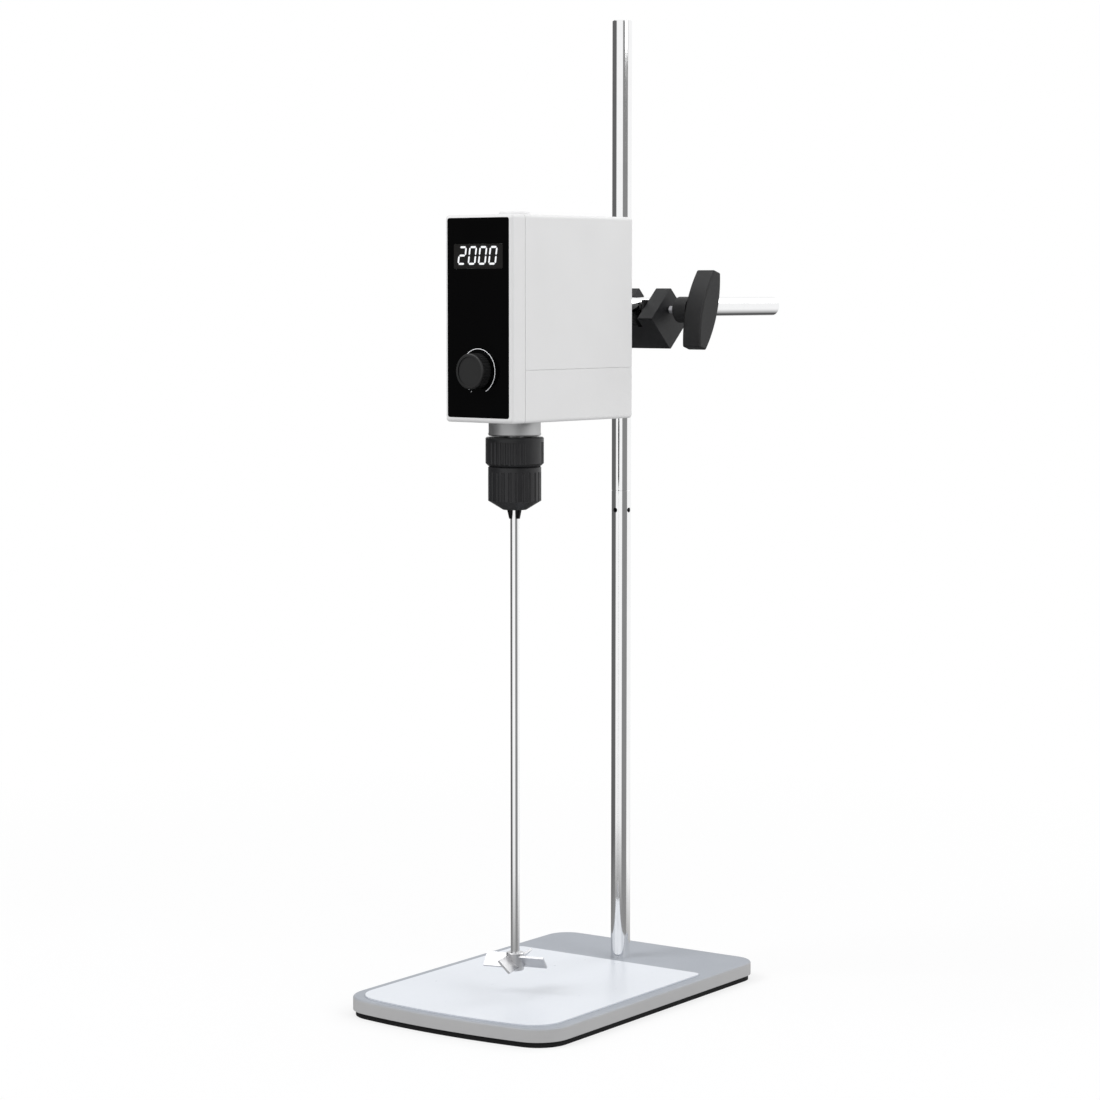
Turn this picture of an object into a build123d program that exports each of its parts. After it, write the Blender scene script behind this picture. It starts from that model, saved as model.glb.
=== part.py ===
"""Overhead stirrer on a plate stand, one STEP file for each piece, in millimetres.

The origin lies on the stirring shaft's axis at bench level. +X is to the right of somebody
facing the display, +Y runs back along the support arm and +Z is up.
"""
from build123d import *
import math
import os

os.makedirs("parts", exist_ok=True)

# ---- stand: plate, mat and mast -------------------------------------------------------
mat_thick = 4.5
mat_inset = 2.0
plate_width = 200.0
plate_front = 252.0  # mast axis to the middle of the bowed front edge
plate_rear = 58.0  # mast axis to the rear edge
plate_bow = 9.0
plate_thick = 10.5
plate_front_corner = 28.0
plate_rear_corner = 20.0
plate_edge_radius = 1.6
sheet_thick = 1.0
sheet_width = 182.0
sheet_front_margin = 6.0
sheet_rear_gap = 18.0  # mast axis to the sheet's rear edge
sheet_front_corner = 25.0
sheet_rear_corner = 6.0
stand_turn = 5.0  # the plate is turned this much against the stirrer head, degrees
mast_radius = 8.0
mast_offset = 24.0  # arm axis to mast axis, across the boss head
mast_y = 161.2
mast_joint_z = 403.4
mast_top_z = 784.0
mast_set_screw_drop = 16.1
mast_edge = 0.6
stud_radius = 5.0
stud_half_length = 34.0
set_screw_radius = 2.0
set_screw_sink = 0.5
set_screw_socket_radius = 1.0
set_screw_socket = 1.2
foot_screw_radius = 5.0
foot_screw_head_radius = 8.0
foot_screw_head = 5.0
foot_screw_grip = 22.0
foot_screw_key = 8.0
foot_screw_key_depth = 3.0
foot_screw_recess = 0.6
hole_end_gap = 2.0  # a blind hole runs this much past the end of what it holds
washer_radius = 8.7
washer_thick = 1.4

# ---- boss head and its two clamps -----------------------------------------------------
boss_half_diagonal = 24.6
boss_edge_radius = 0.9
boss_leg = 14.6
arm_radius = 8.0
arm_z = 553.0
arm_end_y = 338.2
arm_end_chamfer = 3.0
arm_above_boss = 9.1  # arm axis above the middle of the boss head
arm_notch_right = 12.0  # arm axis to the inner face of the arm's leg
arm_notch_floor = 16.0  # arm axis down to the notch's floor
mast_notch_left = 12.1
web_reach = 6.0  # a rod's axis to the web beside it, so that each rod lies in a saddle
web_finger = 13.2
saddle_margin = 0.2
saddle_top_drop = 6.5
saddle_ribs = 3
rib_pitch = 2.6
rib_depth = 0.7
rib_groove = rib_pitch / 2
shoe_thick = 2.2
shoe_ribs = 5
arm_shoe_length = 30.0
arm_shoe_height = 16.0
mast_shoe_width = 13.0
mast_shoe_height = 20.0
clamp_screw_radius = 3.0
clamp_screw_chamfer = 0.5
arm_screw_drop = 2.0
clamp_stem = 8.4  # bare screw between the leg and the handle's collar
collar_radius = 10.5
collar_length = 14.0
collar_chamfer = 1.5
grip_length = 64.0
grip_middle = 20.0
grip_end = 8.5
grip_thick = 17.8
grip_edge_radius = 1.4
screw_in_grip = 5.0
arm_grip_tilt = 17.0
mast_grip_tilt = -28.0

# ---- stirrer housing ------------------------------------------------------------------
house_half_width = 34.1
house_front_y = -42.4
house_rear_y = 103.9
house_bottom_z = 466.0
house_top_z = 624.0
house_radius = 2.9
house_radius_slack = 0.01  # the rims are rounded this much less than the corners
house_wall = 2.4
bezel_depth = 15.4
lower_shell_height = 40.2
seam_width = 0.5
seam_depth = 0.6
panel_width = 62.2
panel_height = 151.8
panel_bottom_z = 469.8
panel_thick = 1.2
panel_corner = 2.0
window_width = 49.8
window_height = 18.7
window_z = 592.5
window_thick = 1.0
window_corner = 0.8
window_ledge = 2.0
knob_z = 505.4
knob_radius = 13.7
knob_height = 10.0
knob_standoff = 0.5
knob_grooves = 36
knob_groove_radius = 0.55
knob_recess_radius = 6.5
knob_recess = 3.0
knob_groove_stop = 1.6
knob_edge_radius = 1.2
knob_rim = 2.4
knob_dish = 0.8
control_radius = 8.0
control_depth = 8.0
control_end_wall = 1.0
control_shaft_end = 1.5  # the control's shaft starts this far in front of the board
control_flat = 1.4
control_flat_length = 5.0
control_bush_radius = 3.6
control_bush = 1.6
control_shaft_radius = 3.0
control_shaft_in_knob = 7.0
display_depth = 6.0
display_margin = 1.6
display_pins = 7  # in each of two rows
display_pin_pitch = 5.08
display_pin = 0.8
display_pin_inset = 2.0
board_thick = 1.6
board_width = 58.0
board_height = 138.0
board_hole_inset = 4.0
standoff_radius = 2.6
board_hole_radius = 1.6
cap_radius = 12.0
cap_height = 2.8
cap_plug_radius = 9.9
cap_plug_depth = 12.0
cap_plug_wall = 2.0
cap_edge = 0.8

# ---- drive ----------------------------------------------------------------------------
spindle_radius = 7.48
spindle_bore_radius = 4.3
spindle_edge = 0.8
spindle_top_z = 609.0
bearing_inner_radius = 7.5
bearing_outer_radius = 16.0
bearing_width = 9.0
ball_radius = 2.3
balls = 9
race_gap = 0.15
neck_radius = 20.2
neck_bottom_z = 456.8
seal_height = 1.9
seal_bore_radius = 12.0
seal_taper = 0.3
seal_lip = 0.3
frame_half_width = 30.5
frame_front_y = -20.0
frame_plate = 6.0
frame_base_z = 472.0
frame_top_z = 600.0
hub_wall = 4.0
hub_floor = 2.0
shelf_z = 490.0
shelf_thick = 4.0
shelf_front_y = 12.0
rear_window_half = 25.0
rear_window_depth = 15.0
rear_window_top = 502.0
arm_socket_radius = 15.0
arm_socket_depth = 20.0
arm_end_gap = 2.0  # the arm's end stays this far off the socket's floor
grub_sink = 1.0
frame_foot_x = 24.0
frame_foot_front = 8.0
frame_foot_rear = 22.0
foot_boss_radius = 4.0
rear_screw_x = 24.0
rear_screw_drop = 12.0
rear_screw_rise = 10.0
gear_module = 1.5
gear_teeth = 37
pinion_teeth = 15
pressure_angle = 20.0
gear_backlash = 0.3
gear_addendum = 0.92
gear_dedendum = 1.25
gear_holes = 6
gear_hole_circle = 16.6
gear_hole_radius = 3.9
gear_width = 6.0
gear_z = 480.0
motor_radius = 20.0
motor_height = 60.0
motor_cap_radius = 14.0
motor_cap_height = 5.0
motor_boss_radius = 6.0
motor_boss_height = 2.0
motor_edge = 1.0
motor_shaft_radius = 2.5
motor_shaft_bore = 30.0
motor_shaft_in_case = 20.0
motor_shaft_end = 1.0
motor_screw_circle = 11.0
motor_screw_hole = 5.0
motor_screw_bite = 4.5
small_screw_radius = 1.5
small_head_radius = 2.7
small_head = 2.0
small_head_edge = 0.6
small_socket_radius = 1.2
small_socket = 1.2
countersink_angle = 90.0

# ---- chuck, jaws, stirring shaft and impeller -----------------------------------------
chuck_ring_radius = 22.6
chuck_ring_bottom_z = 431.6
chuck_ring_top_z = 453.7
chuck_ring_chamfer = 2.0
chuck_ring_edge = 0.8
ring_flutes = 36
ring_land = 4  # of each twelve flutes, this many are left smooth
ring_flute_radius = 2.0
ring_flute_depth = 0.8
ring_flute_stop = 3.6
sleeve_radius = 20.6
sleeve_bottom_z = 397.5
sleeve_nose_radius = 9.2
sleeve_cone_top_z = 404.5
sleeve_flutes = 24
sleeve_flute_radius = 1.7
sleeve_flute_depth = 0.7
sleeve_flute_stop = 4.2
sleeve_ring_gap = 0.4
sleeve_wall = 2.35
core_radius = 17.0
core_gap = 0.3
core_nose_gap = 0.4
core_shaft_gap = 0.32
core_top_z = 452.0
core_seat_z = 434.0  # the spindle ends here, inside the chuck's core
nut_bottom_z = 414.0
nut_height = 6.0
nut_gap = 0.2
nut_split = 0.6
jaw_radius = 3.0
jaw_slope = 14.0  # lean of each jaw from the shaft's axis, degrees
jaw_tip_z = 390.5
jaw_top_z = 424.0
jaw_nose_axis = 3.1  # a jaw's own axis from the shaft's, at the sleeve's mouth
jaw_half_angle = 57.0
jaw_clearance = 0.08
jaw_hole_end = 1.0
jaw_travel = 6.0
shaft_radius = 3.5
shaft_grip_gap = 0.05
shaft_bottom_z = 34.5
shaft_length = 410.0
shaft_chamfer = 0.6
impeller_radius = 25.0
impeller_hub_radius = 7.0
impeller_hub = 14.0
impeller_blades = 4
impeller_blade = 13.0
impeller_blade_thick = 1.6
impeller_pitch = 45.0
impeller_phase = 20.0
impeller_lift = 1.0  # the hub's foot above the shaft's end
blade_root = 1.0
impeller_screw_sink = 0.4

# ---- rear panel fittings and screws ---------------------------------------------------
jack_x = -13.0
jack_z = 488.5
jack_radius = 5.5
jack_flange_radius = 7.2
jack_flange = 1.4
jack_bore_radius = 3.1
jack_pin_radius = 1.0
jack_depth = 10.0
jack_floor = 1.0
switch_x = 12.0
switch_z = 488.5
switch_width = 15.0
switch_height = 21.0
switch_flange = 2.0
switch_lip = 1.3
switch_depth = 12.0
switch_wall = 1.0
switch_edge = 0.6
rocker_gap = 0.5
rocker_end_gap = 1.5
rocker_tilt = 8.0
rocker_rise = 1.6
rocker_dip = 0.2
rocker_heel = 2.0
rocker_pivot_depth = 3.0
rocker_pin_radius = 1.0
driver_width = 44.0
driver_height = 26.0
driver_bottom_z = 505.0
driver_gap = 6.0
coil_width = 8.0
coil_height = 10.0
coil_x = 8.0
coil_rise = 10.0

# ---- clearances -----------------------------------------------------------------------
running_gap = 0.05
seat_gap = 0.02
panel_gap = 0.1
hole_gap = 0.25
cut_over = 2.0  # a cutting shape runs this far past what it cuts

# ---- places worked out from the sizes above -------------------------------------------
mast_x = -mast_offset
stand = Plane(
    origin=(mast_x, mast_y, 0),
    x_dir=(math.cos(math.radians(stand_turn)), math.sin(math.radians(stand_turn)), 0),
    z_dir=(0, 0, 1),
)
plate_top_z = mat_thick + plate_thick
counterbore_depth = foot_screw_head + washer_thick + foot_screw_recess
boss_z = arm_z - arm_above_boss
boss_right = arm_notch_right + boss_leg
mast_leg_inner = mast_x - mast_notch_left
boss_left = mast_leg_inner - boss_leg
arm_screw_z = arm_z - arm_screw_drop
bezel_rear_y = house_front_y + bezel_depth
seam_z = house_bottom_z + lower_shell_height
inner_rear_y = house_rear_y - house_wall
inner_front_y = house_front_y + house_wall
board_y = inner_front_y + control_depth
gear_pitch_radius = gear_module * gear_teeth / 2
pinion_pitch_radius = gear_module * pinion_teeth / 2
motor_y = gear_pitch_radius + pinion_pitch_radius
upper_bearing_z = frame_top_z - frame_plate - bearing_width
lower_bearing_z = frame_base_z - bearing_width
jaw_run = math.tan(math.radians(jaw_slope))
nut_top_z = nut_bottom_z + nut_height
seat = (Align.CENTER, Align.CENTER, Align.MIN)
pieces = {}


# ---- helpers, each used inside a BuildPart block --------------------------------------
def rod(start, direction, radius, length, mode=Mode.ADD):
    """A round bar from start, along direction."""
    with Locations(Plane(origin=start, z_dir=direction)):
        Cylinder(radius, length, align=seat, mode=mode)


def block(x_span, y_span, z_span, mode=Mode.ADD):
    """A box between two limits on each axis."""
    spans = (x_span, y_span, z_span)
    middle = tuple((low + high) / 2 for low, high in spans)
    with Locations(middle):
        Box(*(high - low for low, high in spans), mode=mode)


def turn(points, centre=(0, 0), mode=Mode.ADD):
    """A turned piece on an upright axis, from (radius, height) points."""
    plane = Plane(origin=(centre[0], centre[1], 0), x_dir=(1, 0, 0), z_dir=(0, -1, 0))
    with BuildSketch(plane) as section:
        with BuildLine():
            Polyline(*points, close=True)
        make_face()
    revolve(section.sketch, axis=Axis((centre[0], centre[1], 0), (0, 0, 1)), mode=mode)


def plate_outline(half_width, front, rear, front_corner, rear_corner):
    """The plate's plan: straight sides and rear, and a front edge bowed forwards."""
    with BuildLine() as outline:
        bow = ThreePointArc((-half_width, front + plate_bow), (0, front), (half_width, front + plate_bow))
        Polyline(bow @ 1, (half_width, rear), (-half_width, rear), bow @ 0)
    make_face(outline.edges())
    fillet(vertices().group_by(Axis.Y)[-1], rear_corner)
    fillet(vertices().group_by(Axis.Y)[0], front_corner)


def housing_block(inset, mode=Mode.ADD):
    """The housing's outside, rounded on every edge, moved inwards by inset."""
    width = house_half_width - inset
    with BuildSketch(Plane.XY.offset(house_bottom_z + inset), mode=Mode.PRIVATE) as plan:
        with Locations((0, (house_front_y + house_rear_y) / 2)):
            RectangleRounded(2 * width, house_rear_y - house_front_y - 2 * inset, house_radius - inset)
    body = extrude(plan.sketch, house_top_z - house_bottom_z - 2 * inset, mode=Mode.PRIVATE)
    ends = body.faces().filter_by(Axis.Z)
    rims = ends[0].edges() + ends[1].edges()
    add(body.fillet(house_radius - inset - house_radius_slack, rims), mode=mode)


def housing_shell():
    """The hollow housing before it is divided at its seams."""
    housing_block(0)
    block(
        (house_wall - house_half_width, house_half_width - house_wall),
        (inner_front_y, inner_rear_y),
        (house_bottom_z + house_wall, house_top_z - house_wall),
        mode=Mode.SUBTRACT,
    )
    add(seam_grooves.part, mode=Mode.SUBTRACT)


def gear_outline(teeth, phase, thinning):
    """A spur gear: involute flanks on the pitch circle, radial below the base circle."""
    pitch = gear_module * teeth / 2
    base = pitch * math.cos(math.radians(pressure_angle))
    tip = pitch + gear_module * gear_addendum
    root = pitch - gear_module * gear_dedendum

    def involute(radius):
        angle = math.acos(min(base / radius, 1.0))
        return math.tan(angle) - angle

    half_at_pitch = math.pi / (2 * teeth) - thinning / (2 * pitch)
    stations = [max(base, root) + (tip - max(base, root)) * share for share in (0.0, 0.35, 0.7, 1.0)]
    flank = [(radius, half_at_pitch + involute(pitch) - involute(radius)) for radius in stations]
    flank.insert(0, (root, flank[0][1]))
    points = []
    for tooth in range(teeth):
        middle = math.radians(phase) + 2 * math.pi * tooth / teeth
        points += [(r * math.cos(middle - a), r * math.sin(middle - a)) for r, a in flank]
        points += [(r * math.cos(middle + a), r * math.sin(middle + a)) for r, a in reversed(flank)]
    with BuildLine() as outline:
        Polyline(*points, close=True)
    make_face(outline.edges())


def keep(name, piece):
    """Label a finished piece and remember it for export."""
    piece.part.label = name
    pieces[name] = piece.part


# ---- stand ----------------------------------------------------------------------------
with BuildPart() as rubber_mat:
    with BuildSketch(stand):
        plate_outline(
            plate_width / 2 - mat_inset,
            mat_inset - plate_front,
            plate_rear - mat_inset,
            plate_front_corner - mat_inset,
            plate_rear_corner - mat_inset,
        )
        Circle(washer_radius + mat_inset, mode=Mode.SUBTRACT)
    extrude(amount=mat_thick)
keep("rubber_mat", rubber_mat)

with BuildPart() as base_plate:
    with BuildSketch(stand.offset(mat_thick)):
        plate_outline(plate_width / 2, -plate_front, plate_rear, plate_front_corner, plate_rear_corner)
    extrude(amount=plate_thick)
    fillet(base_plate.faces().sort_by(Axis.Z)[-1].edges(), plate_edge_radius)
    with Locations(Plane(origin=(mast_x, mast_y, mat_thick), z_dir=(0, 0, -1))):
        CounterBoreHole(foot_screw_radius + running_gap, washer_radius + hole_gap, counterbore_depth)
keep("base_plate", base_plate)

with BuildPart() as vessel_sheet:
    with BuildSketch(stand.offset(plate_top_z)):
        plate_outline(
            sheet_width / 2,
            sheet_front_margin - plate_front,
            -sheet_rear_gap,
            sheet_front_corner,
            sheet_rear_corner,
        )
    extrude(amount=sheet_thick)
keep("vessel_sheet", vessel_sheet)

washer_z = mat_thick + counterbore_depth - washer_thick
with BuildPart() as mast_foot_washer:
    with BuildSketch(Plane.XY.offset(washer_z)):
        with Locations((mast_x, mast_y)):
            Circle(washer_radius)
            Circle(foot_screw_radius + running_gap, mode=Mode.SUBTRACT)
    extrude(amount=washer_thick)
keep("mast_foot_washer", mast_foot_washer)

with BuildPart() as mast_foot_screw:
    rod((mast_x, mast_y, washer_z - foot_screw_head), (0, 0, 1), foot_screw_head_radius, foot_screw_head)
    rod((mast_x, mast_y, washer_z), (0, 0, 1), foot_screw_radius, plate_top_z - washer_z + foot_screw_grip)
    with BuildSketch(Plane.XY.offset(washer_z - foot_screw_head)):
        with Locations((mast_x, mast_y)):
            RegularPolygon(foot_screw_key / 2, 6, major_radius=False)
    extrude(amount=foot_screw_key_depth, mode=Mode.SUBTRACT)
keep("mast_foot_screw", mast_foot_screw)

set_screw_z = mast_joint_z - mast_set_screw_drop
set_screw_directions = ((0, -1, 0), (1, 0, 0))
mast_joint = (mast_x, mast_y, mast_joint_z)
stud_hole = stud_half_length + hole_end_gap
with BuildPart() as lower_mast:
    rod((mast_x, mast_y, plate_top_z), (0, 0, 1), mast_radius, mast_joint_z - plate_top_z)
    chamfer(lower_mast.edges().filter_by(GeomType.CIRCLE).sort_by(Axis.Z)[-1], mast_edge / 2)
    foot_hole = foot_screw_grip + hole_end_gap
    rod((mast_x, mast_y, plate_top_z), (0, 0, 1), foot_screw_radius + seat_gap, foot_hole, Mode.SUBTRACT)
    rod(mast_joint, (0, 0, -1), stud_radius + seat_gap, stud_hole, Mode.SUBTRACT)
    for direction in set_screw_directions:
        screw_hole = set_screw_radius + seat_gap
        rod((mast_x, mast_y, set_screw_z), direction, screw_hole, mast_radius + cut_over, Mode.SUBTRACT)
keep("lower_mast", lower_mast)

with BuildPart() as upper_mast:
    rod(mast_joint, (0, 0, 1), mast_radius, mast_top_z - mast_joint_z)
    rims = upper_mast.edges().filter_by(GeomType.CIRCLE).sort_by(Axis.Z)
    chamfer(rims[-1], mast_edge)
    chamfer(rims[0], mast_edge / 2)
    rod(mast_joint, (0, 0, 1), stud_radius + seat_gap, stud_hole, Mode.SUBTRACT)
keep("upper_mast", upper_mast)

with BuildPart() as mast_stud:
    rod((mast_x, mast_y, mast_joint_z - stud_half_length), (0, 0, 1), stud_radius, 2 * stud_half_length)
    chamfer(mast_stud.edges().filter_by(GeomType.CIRCLE), mast_edge)
keep("mast_stud", mast_stud)

with BuildPart() as mast_set_screws:
    for direction in set_screw_directions:
        start = Vector(mast_x, mast_y, set_screw_z) + Vector(*direction) * (stud_radius + seat_gap)
        length = mast_radius - stud_radius - set_screw_sink
        rod(start, direction, set_screw_radius, length)
        inward = Vector(*direction) * -1
        rod(start - inward * length, inward, set_screw_socket_radius, set_screw_socket, Mode.SUBTRACT)
keep("mast_set_screws", mast_set_screws)

# ---- boss head ------------------------------------------------------------------------
arm_floor_z = arm_z - arm_notch_floor
boss_crown_z = boss_z + boss_half_diagonal + cut_over
boss_side = boss_half_diagonal * math.sqrt(2)


def boss_prism(x_span):
    """A square bar standing on one edge, running along X through the boss head's middle."""
    with BuildSketch(Plane.YZ.offset(x_span[0])) as diamond:
        with Locations((mast_y, boss_z)):
            Rectangle(boss_side, boss_side, rotation=45)
    extrude(diamond.sketch, amount=x_span[1] - x_span[0])


with BuildPart() as boss_head:
    boss_prism((boss_left, boss_right))
    fillet(boss_head.edges().filter_by(Axis.X), boss_edge_radius)
    wide = (mast_y - 2 * boss_half_diagonal, mast_y + 2 * boss_half_diagonal)
    tall = (boss_z - 2 * boss_half_diagonal, boss_crown_z)
    block((-web_reach, arm_notch_right), wide, (arm_floor_z, boss_crown_z), Mode.SUBTRACT)
    rod((0, wide[0], arm_z), (0, 1, 0), arm_radius + running_gap, wide[1] - wide[0], Mode.SUBTRACT)
    block((mast_leg_inner, mast_x + web_reach), (mast_y - web_reach, wide[1]), tall, Mode.SUBTRACT)
    rod((mast_x, mast_y, tall[0]), (0, 0, 1), mast_radius + running_gap, tall[1] - tall[0], Mode.SUBTRACT)
    web = (mast_x + web_reach, -web_reach)
    for side in (-1, 1):
        trim = sorted((mast_y + side * web_finger / 2, mast_y + side * 2 * boss_half_diagonal))
        block(web, tuple(trim), (arm_z, boss_crown_z), Mode.SUBTRACT)
    rod((0, mast_y, arm_screw_z), (1, 0, 0), clamp_screw_radius + running_gap, boss_right, Mode.SUBTRACT)
    rod((mast_x, mast_y, boss_z), (-1, 0, 0), clamp_screw_radius + running_gap, -boss_left, Mode.SUBTRACT)
keep("boss_head", boss_head)

with BuildPart() as arm_saddle:
    boss_prism((-web_reach, arm_radius - saddle_margin))
    saddle_z = (arm_floor_z, arm_z - saddle_top_drop)
    block((-arm_radius, arm_radius), wide, saddle_z, Mode.INTERSECT)
    rod((0, wide[0], arm_z), (0, 1, 0), arm_radius + running_gap, wide[1] - wide[0], Mode.SUBTRACT)
    for side in (-1, 1):
        for rib in range(saddle_ribs):
            rib_z = arm_floor_z + rib_groove + rib_pitch * rib
            reach = boss_half_diagonal - abs(rib_z - boss_z) - rib_depth
            groove = sorted((mast_y + side * reach, mast_y + side * 2 * boss_half_diagonal))
            block((-arm_radius, arm_radius), tuple(groove), (rib_z, rib_z + rib_groove), Mode.SUBTRACT)
keep("arm_saddle", arm_saddle)

arm_shoe_x = arm_radius + 2 * running_gap
with BuildPart() as arm_clamp_shoe:
    block(
        (arm_shoe_x, arm_shoe_x + shoe_thick),
        (mast_y - arm_shoe_length / 2, mast_y + arm_shoe_length / 2),
        (arm_screw_z - arm_shoe_height / 2, arm_screw_z + arm_shoe_height / 2),
    )
    chamfer(arm_clamp_shoe.edges().filter_by(Axis.Z), rib_depth)
    for rib in range(shoe_ribs):
        rib_z = arm_screw_z + (rib - shoe_ribs // 2) * rib_pitch
        for side in (-1, 1):
            end = mast_y + side * arm_shoe_length / 2
            groove = sorted((end, end - side * rib_depth))
            block((0, 2 * arm_radius), tuple(groove), (rib_z, rib_z + rib_groove), Mode.SUBTRACT)
keep("arm_clamp_shoe", arm_clamp_shoe)

mast_shoe_x = mast_x - mast_radius - 2 * running_gap
with BuildPart() as mast_clamp_shoe:
    block(
        (mast_shoe_x - shoe_thick, mast_shoe_x),
        (mast_y - web_reach + hole_gap, mast_y + mast_shoe_width - web_reach),
        (boss_z - mast_shoe_height / 2, boss_z + mast_shoe_height / 2),
    )
    chamfer(mast_clamp_shoe.edges().filter_by(Axis.X), rib_depth)
keep("mast_clamp_shoe", mast_clamp_shoe)


def clamp_screw(tip, direction, length):
    """A clamp screw with a chamfered tip, from the shoe into its handle."""
    rod(tip, direction, clamp_screw_radius, length)
    chamfer(edges().filter_by(GeomType.CIRCLE), clamp_screw_chamfer)


def clamp_handle(collar_start, direction, tilt, screw_end):
    """A moulded T-handle: a round collar and a lens-shaped grip bar across its end."""
    axis = Vector(*direction)
    start = Vector(*collar_start)
    rod(start, direction, collar_radius, collar_length)
    rim = edges().filter_by(GeomType.CIRCLE).sort_by(lambda edge: (edge.center() - start).dot(axis))[0]
    chamfer(rim, collar_chamfer)
    lean = math.radians(tilt)
    across = (0, math.cos(lean), -math.sin(lean))
    half = grip_length / 2
    with BuildSketch(Plane(origin=start + axis * collar_length, x_dir=across, z_dir=direction)) as lens:
        with BuildLine():
            left = ThreePointArc((-grip_end / 2, -half), (-grip_middle / 2, 0), (-grip_end / 2, half))
            Line(left @ 1, (grip_end / 2, half))
            right = ThreePointArc((grip_end / 2, half), (grip_middle / 2, 0), (grip_end / 2, -half))
            Line(right @ 1, left @ 0)
        make_face()
    grip = extrude(lens.sketch, amount=grip_thick, mode=Mode.PRIVATE)
    add(grip.fillet(grip_edge_radius, grip.edges()))
    rod(start, direction, clamp_screw_radius + seat_gap, screw_end, Mode.SUBTRACT)


arm_screw_tip = (arm_shoe_x + shoe_thick, mast_y, arm_screw_z)
arm_collar = (boss_right + clamp_stem, mast_y, arm_screw_z)
screw_in_handle = collar_length + screw_in_grip
with BuildPart() as arm_clamp_screw:
    clamp_screw(arm_screw_tip, (1, 0, 0), arm_collar[0] + screw_in_handle - arm_screw_tip[0])
keep("arm_clamp_screw", arm_clamp_screw)

with BuildPart() as arm_clamp_handle:
    clamp_handle(arm_collar, (1, 0, 0), arm_grip_tilt, screw_in_handle)
keep("arm_clamp_handle", arm_clamp_handle)

mast_screw_tip = (mast_shoe_x - shoe_thick, mast_y, boss_z)
mast_collar = (boss_left - clamp_stem, mast_y, boss_z)
with BuildPart() as mast_clamp_screw:
    clamp_screw(mast_screw_tip, (-1, 0, 0), mast_screw_tip[0] - mast_collar[0] + screw_in_handle)
keep("mast_clamp_screw", mast_clamp_screw)

with BuildPart() as mast_clamp_handle:
    clamp_handle(mast_collar, (-1, 0, 0), mast_grip_tilt, screw_in_handle)
keep("mast_clamp_handle", mast_clamp_handle)

# ---- support arm and the frame inside the housing -------------------------------------
frame_rear_y = inner_rear_y
frame_wall_y = frame_rear_y - frame_plate
socket_y = frame_wall_y - arm_socket_depth
arm_start_y = socket_y + arm_end_gap
with BuildPart() as arm_rod:
    rod((0, arm_start_y, arm_z), (0, 1, 0), arm_radius, arm_end_y - arm_start_y)
    rims = arm_rod.edges().filter_by(GeomType.CIRCLE).sort_by(Axis.Y)
    chamfer(rims[-1], arm_end_chamfer)
    chamfer(rims[0], mast_edge)
keep("arm_rod", arm_rod)

with BuildPart() as frame_casting:
    sides = (-frame_half_width, frame_half_width)
    block(sides, (frame_front_y, frame_rear_y), (frame_base_z, frame_base_z + frame_plate))
    block(sides, (frame_front_y, frame_rear_y), (frame_top_z - frame_plate, frame_top_z))
    block(sides, (frame_wall_y, frame_rear_y), (frame_base_z, frame_top_z))
    block(sides, (shelf_front_y, frame_rear_y), (shelf_z, shelf_z + shelf_thick))
    block(
        (-rear_window_half, rear_window_half),
        (frame_rear_y - rear_window_depth, frame_rear_y),
        (frame_base_z + frame_plate, rear_window_top),
        Mode.SUBTRACT,
    )
    hub_radius = bearing_outer_radius + hub_wall
    rod((0, 0, upper_bearing_z - hub_floor), (0, 0, 1), hub_radius, bearing_width + hub_floor)
    rod((0, socket_y, arm_z), (0, 1, 0), arm_socket_radius, arm_socket_depth + frame_plate)
    rod((0, arm_start_y, arm_z), (0, 1, 0), arm_radius + seat_gap, arm_end_y, Mode.SUBTRACT)
    rod((0, 0, upper_bearing_z), (0, 0, 1), bearing_outer_radius + seat_gap, frame_top_z, Mode.SUBTRACT)
    rod((0, 0, frame_base_z), (0, 0, 1), seal_bore_radius, frame_top_z - frame_base_z, Mode.SUBTRACT)
    rod((0, motor_y, shelf_z), (0, 0, 1), motor_boss_radius + seat_gap, shelf_thick, Mode.SUBTRACT)
    with Locations(*[(x, y, shelf_z + shelf_thick) for x in (-motor_screw_circle, motor_screw_circle)
                     for y in (motor_y - motor_screw_circle, motor_y + motor_screw_circle)]):
        Hole(small_screw_radius + running_gap, depth=shelf_thick)
    frame_feet = [(x, y) for x in (-frame_foot_x, frame_foot_x)
                  for y in (frame_front_y + frame_foot_front, frame_rear_y - frame_foot_rear)]
    rear_points = [(x, z) for x in (-rear_screw_x, rear_screw_x)
                   for z in (frame_top_z - rear_screw_drop, rear_window_top + rear_screw_rise)]
    for x, y in frame_feet:
        rod((x, y, frame_base_z), (0, 0, 1), small_screw_radius + seat_gap, frame_plate, Mode.SUBTRACT)
    for x, z in rear_points:
        rod((x, frame_wall_y, z), (0, 1, 0), small_screw_radius + seat_gap, frame_plate, Mode.SUBTRACT)
    grub_y = (socket_y + frame_wall_y) / 2
    grub_hole = set_screw_radius + seat_gap
    rod((0, grub_y, arm_z), (0, 0, 1), grub_hole, arm_socket_radius + cut_over, Mode.SUBTRACT)
keep("frame_casting", frame_casting)

with BuildPart() as arm_grub_screw:
    grub_start = (0, grub_y, arm_z + arm_radius + seat_gap)
    rod(grub_start, (0, 0, 1), set_screw_radius, arm_socket_radius - arm_radius - grub_sink)
keep("arm_grub_screw", arm_grub_screw)

with BuildPart() as neck_collar:
    turn([
        (seal_bore_radius, neck_bottom_z),
        (neck_radius, neck_bottom_z),
        (neck_radius, frame_base_z),
        (bearing_outer_radius + seat_gap, frame_base_z),
        (bearing_outer_radius + seat_gap, lower_bearing_z),
        (seal_bore_radius, lower_bearing_z),
    ])
keep("neck_collar", neck_collar)

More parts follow.
